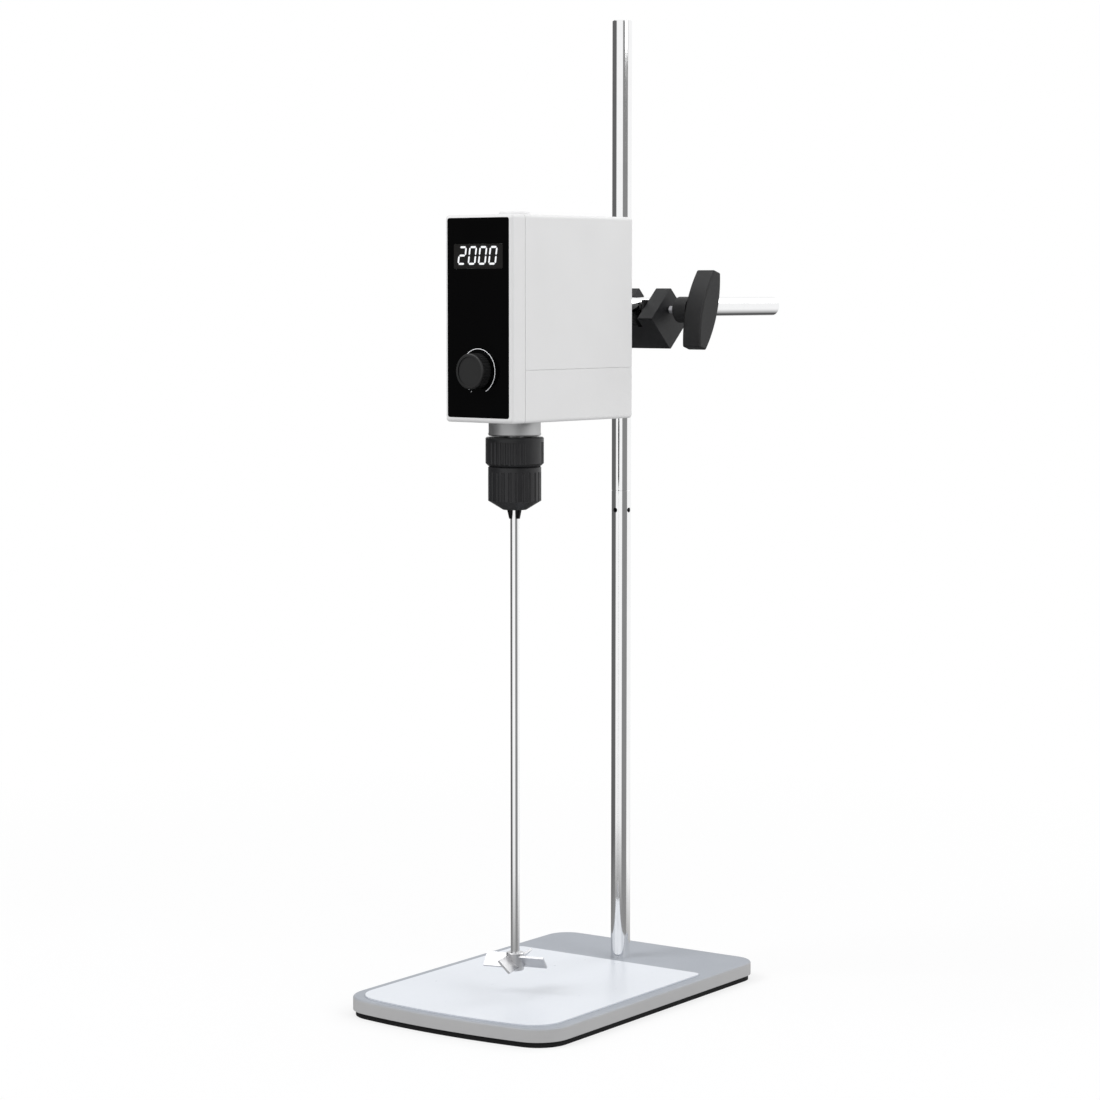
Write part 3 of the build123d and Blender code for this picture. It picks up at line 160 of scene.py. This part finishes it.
mat_rubber = Finish("mat_rubber", Specular_IOR_Level=0.3)
mat_wear = mat_rubber.grain(6 * mm)
mat_rubber.feed("Base Color", mat_rubber.colours(mat_wear, (0.006, 0.006, 0.0065), (0.016, 0.016, 0.017)))
mat_rubber.feed("Roughness", 0.72 + 0.2 * mat_wear)
mat_rubber.relief(mat_rubber.pebble(0.9 * mm), 0.12 * mm)
dress(mat_rubber, "rubber_mat")

# ---- base plate -----------------------------------------------------------------------
# Flame-cut steel with a bowed front edge, powder-coated grey. The coat flows to a fine
# orange peel. Painted shade makes the level top darker and bluer than the edges.
plate_coat = Finish("plate_coat")
plate_cloud = plate_coat.grain(30 * mm, 2.0)
plate_peel = plate_coat.grain(1.1 * mm, 2.0)
# Painted shade and light: upward faces get a darker, bluer colour, and the edges a lighter one.
plate_top_painted_shade = plate_coat.colours(plate_cloud, (0.312, 0.336, 0.378), (0.362, 0.386, 0.429))
plate_edge_painted_light = plate_coat.colours(plate_cloud, (0.47, 0.47, 0.475), (0.52, 0.52, 0.525))
plate_normal = plate_coat.node("ShaderNodeNewGeometry", output="Normal")
plate_painted_shade_share = plate_coat.node("ShaderNodeSeparateXYZ", {}, {0: plate_normal}, 2).clamped()
plate_coat.feed("Base Color", plate_coat.blend(plate_painted_shade_share, plate_edge_painted_light, plate_top_painted_shade))
plate_coat.feed("Roughness", 0.42 + 0.14 * plate_peel)
plate_coat.relief(plate_peel, 0.06 * mm)
dress(plate_coat, "base_plate")

# ---- vessel sheet ---------------------------------------------------------------------
# A thin white plastic sheet stuck to the plate, where a vessel stands. It is smooth
# enough to wipe, with faint scuffs where vessels have slid across it.
sheet_white = Finish("sheet_white")
sheet_scuff = sheet_white.grain(2.5 * mm, 6.0, (1, 0.25, 1))
sheet_white.feed("Base Color", sheet_white.colours(sheet_scuff, (0.682, 0.717, 0.782), (0.748, 0.777, 0.818)))
sheet_white.feed("Roughness", 0.22 + 0.2 * sheet_scuff)
sheet_white.relief(sheet_scuff, 0.01 * mm)
dress(sheet_white, "vessel_sheet")


# ---- mast, arm and stirring shaft -----------------------------------------------------
# Drawn stainless bar, centreless ground and then polished until it mirrors the room.
# The grinding leaves very fine lines round each bar, with a soft cloud over them.
def ground_bar(name, stretch):
    """Polished bar steel: close rings of grinding, stretched round the bar, and a soft cloud."""
    bar = Finish(name, Metallic=1.0)
    rings = bar.grain(0.35 * mm, 4.0, stretch)
    cloud = bar.grain(9 * mm, 2.0)
    bar.feed("Base Color", bar.colours(cloud, (0.88, 0.885, 0.89), (0.93, 0.93, 0.935)))
    bar.feed("Roughness", 0.03 + 0.05 * rings + 0.02 * cloud)
    bar.relief(rings, 0.0008 * mm)
    return bar


upright_bar = ground_bar("upright_bar", (0.04, 0.04, 1))
dress(upright_bar, "lower_mast", "upper_mast", "stirring_shaft")
level_bar = ground_bar("level_bar", (0.04, 1, 0.04))
dress(level_bar, "arm_rod")

# ---- impeller -------------------------------------------------------------------------
# Pitched blades of stainless strip, welded to a hub that a grub screw locks to the shaft.
# The whole piece is bead-blasted, so it is pale and satin, with no mirror shine.
blasted_steel = Finish("blasted_steel", Metallic=1.0)
blast = blasted_steel.grain(0.25 * mm, 3.0)
blasted_steel.feed("Base Color", blasted_steel.colours(blast, (0.52, 0.52, 0.53), (0.66, 0.66, 0.67)))
blasted_steel.feed("Roughness", 0.28 + 0.16 * blast)
blasted_steel.relief(blast, 0.02 * mm)
dress(blasted_steel, "impeller")

# ---- screws ---------------------------------------------------------------------------
# Turned steel screws, stud and washer that hold the mast, the housing and the motor.
# They are zinc-plated, and the plating clouds a little between bright and dull.
zinc = Finish("zinc", Metallic=1.0)
zinc_cloud = zinc.grain(1.5 * mm)
zinc.feed("Base Color", zinc.colours(zinc_cloud, (0.42, 0.42, 0.44), (0.60, 0.60, 0.62)))
zinc.feed("Roughness", 0.24 + 0.18 * zinc_cloud)
dress(zinc, "mast_stud", "mast_foot_screw", "mast_foot_washer", "bottom_screws", "rear_screws", "motor_screws")

# ---- grub screws ----------------------------------------------------------------------
# Hardened cup-point screws in blackened steel, turned in with a key through a socket.
# The oiled black oxide is near black, with a soft grey shine in patches.
black_oxide = Finish("black_oxide", Metallic=1.0)
oxide_cloud = black_oxide.grain(1.2 * mm, 3.0)
black_oxide.feed("Base Color", black_oxide.colours(oxide_cloud, (0.012, 0.012, 0.013), (0.05, 0.05, 0.053)))
black_oxide.feed("Roughness", 0.30 + 0.20 * oxide_cloud)
dress(black_oxide, "mast_set_screws", "arm_grub_screw", "impeller_screw")

# ---- boss head ------------------------------------------------------------------------
# Cast iron with a notch for each of the two crossed bars, under a black stoved coat. The
# casting skin still shows through the coat as soft bumps.
cast_black = Finish("cast_black", Specular_IOR_Level=0.4)
cast_skin = cast_black.grain(0.8 * mm, 4.0)
cast_swell = cast_black.grain(7 * mm, 2.0)
cast_black.feed("Base Color", cast_black.colours(cast_swell, (0.006, 0.0063, 0.0075), (0.012, 0.0125, 0.014)))
cast_black.feed("Roughness", 0.36 + 0.22 * cast_skin)
cast_black.relief(cast_skin + 0.6 * cast_swell, 0.07 * mm)
dress(cast_black, "boss_head")

# ---- clamp shoes, saddle and handles --------------------------------------------------
# Black nylon with a spark-eroded texture, the handles moulded round their screws' heads.
# It is rubbed a little smoother and greyer in patches.
clamp_nylon = Finish("clamp_nylon", Specular_IOR_Level=0.4)
nylon_spark = clamp_nylon.grain(0.5 * mm, 3.0)
nylon_rub = clamp_nylon.grain(12 * mm, 2.0)
clamp_nylon.feed("Base Color", clamp_nylon.colours(nylon_rub, (0.009, 0.009, 0.0095), (0.017, 0.017, 0.018)))
clamp_nylon.feed("Roughness", 0.40 + 0.14 * nylon_spark + 0.10 * nylon_rub)
clamp_nylon.relief(nylon_spark, 0.05 * mm)
dress(clamp_nylon, "arm_saddle", "arm_clamp_shoe", "mast_clamp_shoe", "arm_clamp_handle", "mast_clamp_handle")


# ---- clamp screws ---------------------------------------------------------------------
# M6 steel screws with a rolled thread, zinc-plated. The thread shows between the boss head
# and each handle, and it narrows to the root over a short lead-in at the tip.
def new_piece(name, points, faces, body, finish):
    """A mesh of points and faces in one finish, riding on a body."""
    mesh = bpy.data.meshes.new(name)
    mesh.from_pydata(points.reshape(-1, 3), [], faces)
    mesh.validate()
    mesh.materials.append(finish.material)
    piece = bpy.data.objects.new(name, mesh)
    bpy.context.scene.collection.objects.link(piece)
    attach(piece, body)
    return piece


def grid_piece(name, points, body, finish):
    """A closed tube from a grid of points, rows along it and columns round it.

    Each cell is one quad, the last column meets the first, and a disc closes each end.
    """
    rows, columns = points.shape[:2]
    index = np.arange(rows * columns).reshape(rows, columns)
    beside = np.roll(index, -1, axis=1)
    quads = np.stack([index[:-1], beside[:-1], beside[1:], index[1:]], axis=-1).reshape(-1, 4)
    faces = quads.tolist() + [index[0][::-1].tolist(), index[-1].tolist()]
    return new_piece(name, points, faces, body, finish)


thread_pitch = 1.0 * mm
thread_depth = 0.32 * mm
thread_lead_in = 1.2 * mm
thread_rows = 8  # rows of points to a turn of the thread
thread_sides = 32


def thread_screw(name, node, body, outward):
    """A screw along X: radius = outer - depth * |triangle wave of (x / pitch - turn)|.

    The wave runs from 0 at a crest to 1 at a root, and the tip narrows over the lead-in.
    """
    low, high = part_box(node)
    outer = (high.z - low.z) / 2
    along = np.linspace(low.x, high.x, int((high.x - low.x) / thread_pitch * thread_rows) + 1)[:, None]
    turn = np.linspace(0, 1, thread_sides, endpoint=False)[None, :]
    wave = np.abs(2 * ((along / thread_pitch - turn) % 1) - 1)
    from_tip = along - low.x if outward > 0 else high.x - along
    taper = np.clip(1 - from_tip / thread_lead_in, 0, 1) * thread_depth
    radius = outer - thread_depth * wave - taper
    angle = 2 * math.pi * turn
    points = np.stack([
        along + 0 * angle,
        (low.y + high.y) / 2 + radius * np.cos(angle),
        (low.z + high.z) / 2 + radius * np.sin(angle),
    ], axis=-1)
    piece = grid_piece(name, points, body, zinc)
    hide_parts(node)


thread_screw("arm_screw_thread", "arm_clamp_screw", "arm_screw", 1)
thread_screw("mast_screw_thread", "mast_clamp_screw", "mast_screw", -1)

# ---- housing --------------------------------------------------------------------------
# Three white ABS mouldings, front frame, cover and tray, held by screws, and a cap on top
# over the shaft's hole. The mould gives them a very fine matt texture.
housing_white = Finish("housing_white")
abs_spark = housing_white.grain(0.45 * mm, 2.0)
abs_cloud = housing_white.grain(40 * mm, 2.0)
housing_white.feed("Base Color", housing_white.colours(abs_cloud, (0.785, 0.785, 0.787), (0.83, 0.83, 0.832)))
housing_white.feed("Roughness", 0.40 + 0.12 * abs_spark)
housing_white.relief(abs_spark, 0.025 * mm)
dress(housing_white, "front_bezel", "upper_shell", "lower_shell", "shaft_cap")

# ---- front panel ----------------------------------------------------------------------
# A clear polycarbonate sheet printed black on its back and glued into the front frame.
# The print lies under the face, which is deep and glossy, with a few wipe marks.
panel_black = Finish("panel_black", Specular_IOR_Level=0.16)
panel_wipe = panel_black.grain(14 * mm, 5.0, (1, 1, 0.3))
panel_black.feed("Base Color", panel_black.colours(panel_wipe, (0.0005, 0.0005, 0.0006), (0.0011, 0.0011, 0.0012)))
panel_black.feed("Roughness", 0.09 + 0.08 * panel_wipe)
dress(panel_black, "front_panel")

# ---- display --------------------------------------------------------------------------
# A smoked plastic window in the panel, over four seven-segment numerals that glow white
# and lean to the right. Their glowing white also serves for the printed scale, as painted light.
window_smoke = Finish("window_smoke", Specular_IOR_Level=0.35)
window_haze = window_smoke.grain(10 * mm, 3.0)
window_smoke.feed("Base Color", window_smoke.colours(window_haze, (0.012, 0.0115, 0.011), (0.018, 0.017, 0.0165)))
window_smoke.feed("Roughness", 0.12 + 0.06 * window_haze)
dress(window_smoke, "display_window")

digit_glow_and_painted_print_glow = Finish("digit_glow_and_painted_print_glow")
print_mottle = digit_glow_and_painted_print_glow.grain(0.4 * mm)
digit_glow_and_painted_print_glow.feed("Base Color", digit_glow_and_painted_print_glow.colours(print_mottle, (0.84, 0.85, 0.87), (0.93, 0.94, 0.95)))
digit_glow_and_painted_print_glow.feed("Roughness", 0.45 + 0.1 * print_mottle)
# The glow is the numerals' own light. On the printed scale it is painted light.
digit_glow_and_painted_print_glow.shader.inputs["Emission Color"].default_value = (0.95, 0.97, 1.0, 1)
digit_glow_and_painted_print_glow.shader.inputs["Emission Strength"].default_value = 0.25


def flat_plates(name, outlines, front_y, thick, body, finish):
    """Upright prisms on a wall that faces -Y: each outline of (x, z) points, front and back.

    outlines has shape (plates, corners, 2), with the corners anticlockwise from in front.
    """
    plates, corners = outlines.shape[:2]
    levels = np.array([front_y, front_y + thick])
    x = np.broadcast_to(outlines[:, None, :, 0], (plates, 2, corners))
    z = np.broadcast_to(outlines[:, None, :, 1], (plates, 2, corners))
    y = np.broadcast_to(levels[None, :, None], (plates, 2, corners))
    index = np.arange(plates * 2 * corners).reshape(plates, 2, corners)
    front, back = index[:, 0], index[:, 1]
    sides = np.stack([front, back, np.roll(back, -1, axis=1), np.roll(front, -1, axis=1)], axis=-1)
    faces = front.tolist() + back[:, ::-1].tolist() + sides.reshape(-1, 4).tolist()
    new_piece(name, np.stack([x, y, z], axis=-1), faces, body, finish)


# Each segment's middle, in half widths and half heights from the numeral's own middle, and
# whether it stands upright.
segment_places = {
    "top": (0, 1, False), "middle": (0, 0, False), "bottom": (0, -1, False),
    "upper left": (-1, 0.5, True), "upper right": (1, 0.5, True),
    "lower left": (-1, -0.5, True), "lower right": (1, -0.5, True),
}
segments_of_2 = ("top", "upper right", "middle", "lower left", "bottom")
segments_of_0 = ("top", "upper left", "upper right", "lower left", "lower right", "bottom")
numeral_height = 14.1 * mm
numeral_width = 7.9 * mm
numeral_step = 10.35 * mm
numeral_lift = 0.6 * mm  # the numerals' middle above the window's
numeral_shift = -0.6 * mm  # and to its left
numeral_proud = 0.06 * mm
numeral_thick = 0.05 * mm
numeral_lean = math.tan(math.radians(8))
segment_width = 1.5 * mm
segment_gap = 0.32 * mm
window_low, window_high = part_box("display_window")
window_middle = (window_low + window_high) / 2


def segment_outline(place, centre_x):
    """A bar with pointed ends, h half its length and w half its width, then leaned.

    The lean moves each point to the right by its height times the slope numeral_lean.
    """
    across, up, stands = segment_places[place]
    half_wide = (numeral_width - segment_width) / 2
    half_tall = (numeral_height - segment_width) / 2
    h = (half_tall / 2 if stands else half_wide) - segment_gap
    w = segment_width / 2
    bar = np.array([(-h, 0), (w - h, -w), (h - w, -w), (h, 0), (h - w, w), (w - h, w)])
    if stands:
        bar = np.stack([-bar[:, 1], bar[:, 0]], axis=-1)
    bar = bar + (across * half_wide, up * half_tall)
    x = bar[:, 0] + bar[:, 1] * numeral_lean + centre_x
    z = bar[:, 1] + window_middle.z + numeral_lift
    return np.stack([x, z], axis=-1)


numerals = (segments_of_2, segments_of_0, segments_of_0, segments_of_0)
middle_place = (len(numerals) - 1) / 2
numeral_outlines = np.array([
    segment_outline(place, (number - middle_place) * numeral_step + numeral_shift)
    for number, segments in enumerate(numerals)
    for place in segments
])
flat_plates("display_numerals", numeral_outlines, window_low.y - numeral_proud, numeral_thick, "head", digit_glow_and_painted_print_glow)

# ---- speed scale ----------------------------------------------------------------------
# A thin white arc screen-printed on the panel round the knob, with two short dashes after
# its gap at the lower left. The ink stands a few hundredths of a millimetre proud.
scale_radius = 17.0 * mm
scale_line = 0.42 * mm
scale_proud = 0.05 * mm
scale_thick = 0.04 * mm
scale_steps = 96
scale_start, scale_end = math.radians(-63), math.radians(168)
knob_low, knob_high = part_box("speed_knob")
knob_middle = (knob_low + knob_high) / 2
scale_turn = np.linspace(scale_start, scale_end, scale_steps + 1)
dash_turn = np.radians([-124.5, -115.0])
dash_reach = math.radians(1.9)
scale_low = np.concatenate([scale_turn[:-1], dash_turn])
scale_high = np.concatenate([scale_turn[1:], dash_turn + dash_reach])
inner, outer = scale_radius - scale_line / 2, scale_radius + scale_line / 2


def round_point(radius, turn):
    """The point at a radius and a turn about the knob's axis, seen from in front."""
    return np.stack([knob_middle.x + radius * np.cos(turn), knob_middle.z + radius * np.sin(turn)], axis=-1)


scale_outlines = np.stack([
    round_point(inner, scale_low), round_point(outer, scale_low),
    round_point(outer, scale_high), round_point(inner, scale_high),
], axis=1)
panel_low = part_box("front_panel")[0]
# The scale's ink shares the numerals' glow, as painted light.
flat_plates("speed_scale", scale_outlines, panel_low.y - scale_proud, scale_thick, "head", digit_glow_and_painted_print_glow)

# ---- knob -----------------------------------------------------------------------------
# Moulded black plastic with a grooved rim, pushed on the speed control's shaft. Its face
# is painted a little greyer than its side, as painted light on the forward face.
knob_black = Finish("knob_black", Specular_IOR_Level=0.45)
knob_grain = knob_black.grain(0.5 * mm)
knob_normal = knob_black.node("ShaderNodeNewGeometry", output="Normal")
knob_face = knob_black.node("ShaderNodeSeparateXYZ", {}, {0: knob_normal}, 1)
# Painted light: faces that point forward get a greyer colour than the side.
knob_front_painted_light = (-1.0 * knob_face).clamped()
knob_black.feed("Base Color", knob_black.colours(knob_front_painted_light, (0.006, 0.006, 0.0062), (0.015, 0.015, 0.0153)))
knob_black.feed("Roughness", 0.38 + 0.16 * knob_grain)
knob_black.relief(knob_grain, 0.04 * mm)
dress(knob_black, "speed_knob")

# ---- neck -----------------------------------------------------------------------------
# Turned aluminium with a lip below, clear anodised and fixed under the housing, with a
# seal ring of the same finish. Close tool marks run round both.
neck_silver = Finish("neck_silver", Metallic=1.0)
neck_rings = neck_silver.grain(0.30 * mm, 3.0, (0.03, 0.03, 1))
neck_silver.feed("Base Color", neck_silver.colours(neck_rings, (0.50, 0.503, 0.507), (0.58, 0.583, 0.587)))
neck_silver.feed("Roughness", 0.46 + 0.08 * neck_rings)
neck_silver.relief(neck_rings, 0.002 * mm)
dress(neck_silver, "neck_collar", "seal_ring")

# ---- chuck ----------------------------------------------------------------------------
# Ring and sleeve moulded in glass-filled nylon, satin black, with flutes for the fingers.
# The sleeve turns the nut that drives the jaws.
chuck_black = Finish("chuck_black", Specular_IOR_Level=0.4)
chuck_grain = chuck_black.grain(0.6 * mm)
chuck_shine = chuck_black.grain(8 * mm, 2.0)
chuck_black.feed("Base Color", chuck_black.colours(chuck_shine, (0.010, 0.010, 0.011), (0.017, 0.017, 0.019)))
chuck_black.feed("Roughness", 0.32 + 0.14 * chuck_grain)
chuck_black.relief(chuck_grain, 0.035 * mm)
dress(chuck_black, "chuck_ring", "chuck_sleeve")

# ---- jaws and core --------------------------------------------------------------------
# Jaws, split nut and bored core, machined in steel, hardened and black-oxide finished.
# They are worn brighter in patches.
jaw_black = Finish("jaw_black", Metallic=1.0)
jaw_wear = jaw_black.grain(2 * mm, 4.0)
jaw_black.feed("Base Color", jaw_black.colours(jaw_wear, (0.012, 0.012, 0.013), (0.040, 0.040, 0.043)))
jaw_black.feed("Roughness", 0.44 - 0.14 * jaw_wear)
dress(jaw_black, "jaw_1", "jaw_2", "jaw_3", "jaw_nut", "chuck_core")

# ---- drive and electronics inside the housing -----------------------------------------
# Cast frame, ground bearing rings and spindle, an acetal gear on a brass pinion, a steel
# motor can, and bare green boards on brass standoffs. None of it shows with the housing on.
frame_cast = Finish("frame_cast", Metallic=1.0)
frame_skin = frame_cast.grain(1.2 * mm, 4.0)
frame_cast.feed("Base Color", frame_cast.colours(frame_skin, (0.48, 0.49, 0.50), (0.62, 0.63, 0.64)))
frame_cast.feed("Roughness", 0.45 + 0.2 * frame_skin)
dress(frame_cast, "frame_casting")

bearing_bright = Finish("bearing_bright", Metallic=1.0)
bearing_lines = bearing_bright.grain(0.3 * mm, 3.0, (0.05, 0.05, 1))
bearing_bright.feed("Base Color", bearing_bright.colours(bearing_lines, (0.62, 0.62, 0.63), (0.76, 0.76, 0.77)))
bearing_bright.feed("Roughness", 0.12 + 0.1 * bearing_lines)
dress(bearing_bright, "bearing_outer_rings", "bearing_inner_rings", "bearing_balls", "hollow_spindle", "motor_shaft",
      "speed_control_shaft")

acetal = Finish("acetal")
acetal_cloud = acetal.grain(5 * mm)
acetal.feed("Base Color", acetal.colours(acetal_cloud, (0.76, 0.74, 0.66), (0.84, 0.82, 0.75)))
acetal.feed("Roughness", 0.34 + 0.1 * acetal_cloud)
dress(acetal, "spindle_gear")

brass = Finish("brass", Metallic=1.0)
brass_tarnish = brass.grain(2 * mm)
brass.feed("Base Color", brass.colours(brass_tarnish, (0.62, 0.46, 0.20), (0.78, 0.62, 0.32)))
brass.feed("Roughness", 0.24 + 0.14 * brass_tarnish)
dress(brass, "motor_pinion", "board_standoffs", "driver_standoffs")

motor_can = Finish("motor_can", Metallic=1.0)
can_cloud = motor_can.grain(4 * mm)
motor_can.feed("Base Color", motor_can.colours(can_cloud, (0.34, 0.35, 0.37), (0.46, 0.47, 0.49)))
motor_can.feed("Roughness", 0.32 + 0.14 * can_cloud)
dress(motor_can, "motor_case")

board_green = Finish("board_green")
board_weave = board_green.grain(0.7 * mm)
board_green.feed("Base Color", board_green.colours(board_weave, (0.02, 0.16, 0.07), (0.04, 0.24, 0.11)))
board_green.feed("Roughness", 0.3 + 0.1 * board_weave)
dress(board_green, "control_board", "driver_board")

# ---- rear fittings --------------------------------------------------------------------
# Power inlet and rocker switch, moulded in black and snapped into the rear wall. The
# display module's and the speed control's bodies inside are the same black plastic.
fitting_black = Finish("fitting_black", Specular_IOR_Level=0.4)
fitting_grain = fitting_black.grain(0.5 * mm)
fitting_black.feed("Base Color", fitting_black.colours(fitting_grain, (0.010, 0.010, 0.0105), (0.019, 0.019, 0.0195)))
fitting_black.feed("Roughness", 0.36 + 0.16 * fitting_grain)
fitting_black.relief(fitting_grain, 0.03 * mm)
dress(fitting_black, "display_module", "speed_control", "power_jack", "power_switch_frame", "power_switch_rocker")

# ---- studio ---------------------------------------------------------------------------
# White floor in a white studio. Two tall grey screens, to the right and at the far left,
# give the bars and the plastics something dark to mirror. In mirrors the floor is dim
# near the object, and further out it lets the ray past to the sky, dim there too.
floor_size = 12.0
floor_mesh = bpy.data.meshes.new("floor")
floor_mesh.from_pydata(floor_size * (np.array([(0, 0, 0), (1, 0, 0), (1, 1, 0), (0, 1, 0)]) - (0.5, 0.5, 0)),
                       [], [(0, 1, 2, 3)])
floor = bpy.data.objects.new("floor", floor_mesh)
bpy.context.scene.collection.objects.link(floor)
floor_white = Finish("floor_white", Roughness=0.9, Specular_IOR_Level=0.2)
floor_white.shader.inputs["Base Color"].default_value = (0.90, 0.90, 0.905, 1)
floor_reach = floor_white.node("ShaderNodeVectorMath", {"operation": "LENGTH"}, {0: floor_white.place}, "Value")
shadow_reach = 0.35  # metres from the shaft's axis to where the floor starts to turn pure white
shadow_fade = 0.9
mirror_reach = 0.15  # metres from it to where mirrors start to see past the floor
mirror_fade = 0.45
far_share = ((floor_reach - shadow_reach) * (1 / shadow_fade)).clamped()
open_share = ((floor_reach - mirror_reach) * (1 / mirror_fade)).clamped()
seen = floor_white.node("ShaderNodeLightPath", output="Is Camera Ray")
mirrored = floor_white.node("ShaderNodeLightPath", output="Is Glossy Ray")
bounced = floor_white.node("ShaderNodeLightPath", output="Is Diffuse Ray")
glow = floor_white.node("ShaderNodeEmission", {}, {"Strength": 1.0})
sheen = floor_white.node("ShaderNodeEmission", {}, {"Strength": 0.16})
beyond = floor_white.node("ShaderNodeBsdfTransparent")
surface = Wire(floor_white, floor_white.shader.outputs[0])
lit = floor_white.node("ShaderNodeMixShader", {}, {0: (0.70 + 0.30 * far_share) * seen, 1: surface, 2: glow})
near = floor_white.node("ShaderNodeMixShader", {}, {0: 0.85 * mirrored + 0.45 * bounced, 1: lit, 2: sheen})
mixed = floor_white.node("ShaderNodeMixShader", {}, {0: mirrored * open_share, 1: near, 2: beyond})
floor_white.tree.links.new(mixed.socket, floor_white.tree.nodes["Material Output"].inputs["Surface"])
floor.data.materials.append(floor_white.material)


class Sky(Finish):
    """The world's own node sheet, with the direction of sight as place."""

    def __init__(self, world):
        world.use_nodes = True
        self.tree = world.node_tree
        self.place = self.node("ShaderNodeTexCoord", output="Generated")

    def along(self, direction):
        """How far the direction of sight points along another, from -1 to 1."""
        return self.node("ShaderNodeVectorMath", {"operation": "DOT_PRODUCT"}, {0: self.place, 1: direction}, "Value")

    def screen(self, azimuth, middle, half_width, edge):
        """1 on an upright screen about an azimuth in degrees, falling to 0 over its edge."""
        offset = azimuth - math.radians(middle)
        inside = math.radians(half_width) - offset.math("ABSOLUTE", offset)
        return (inside * (1 / math.radians(edge)) + 0.5).clamped()


world = bpy.data.worlds.new("studio")
bpy.context.scene.world = world
sky = Sky(world)
front = (0.6457, -0.7636, 0.0)
right = (0.7636, 0.6457, 0.0)
upward = sky.along((0, 0, 1))
rightward = sky.along(right)
azimuth = rightward.math("ARCTAN2", rightward, sky.along(front))
# The screens stop short of the zenith. Below the horizon a mirror sees the floor, which is
# bright only to the right.
low_down = ((0.80 - upward) * 4.0).clamped()
floorward = (-3.0 * upward - 0.45).clamped()
lit_floor = rightward.math("MAXIMUM", 1.9 * rightward - 0.75, 0.08)
right_screen = 0.75 * sky.screen(azimuth, middle=40, half_width=31, edge=5)
left_screen = 0.87 * sky.screen(azimuth, middle=-113, half_width=45, edge=9)
camera_ray = sky.node("ShaderNodeLightPath", output="Is Camera Ray")
glossy_ray = sky.node("ShaderNodeLightPath", output="Is Glossy Ray")
ambient = 0.66
screened = 1.0 - low_down * (right_screen + left_screen)
reflected = screened * (1 - floorward * (1 - lit_floor))
level = camera_ray + (1 - camera_ray) * (glossy_ray * reflected + (1 - glossy_ray) * ambient)
background = sky.tree.nodes["Background"]
sky.tree.links.new(level.socket, background.inputs["Strength"])
background.inputs["Color"].default_value = (1, 1, 1, 1)


def softbox(name, place, aim, size, power):
    """A square lamp at place, size metres wide and power watts, turned to face aim."""
    lamp = bpy.data.objects.new(name, bpy.data.lights.new(name, "AREA"))
    lamp.data.shape = "SQUARE"
    lamp.data.size = size
    lamp.data.energy = power
    lamp.location = place
    direction = Vector(aim) - Vector(place)
    lamp.rotation_euler = direction.to_track_quat("-Z", "Y").to_euler()
    bpy.context.scene.collection.objects.link(lamp)


softbox("key_lamp", place=(-1.1, -1.7, 2.3), aim=(0, 0, 0.45), size=1.4, power=32)
softbox("side_lamp", place=(2.5, 0.1, 1.7), aim=(0, 0.1, 0.45), size=1.6, power=20.5)
softbox("rear_lamp", place=(0.4, 2.3, 1.9), aim=(0, 0.1, 0.5), size=1.4, power=14)

bpy.context.scene.view_settings.view_transform = "Standard"
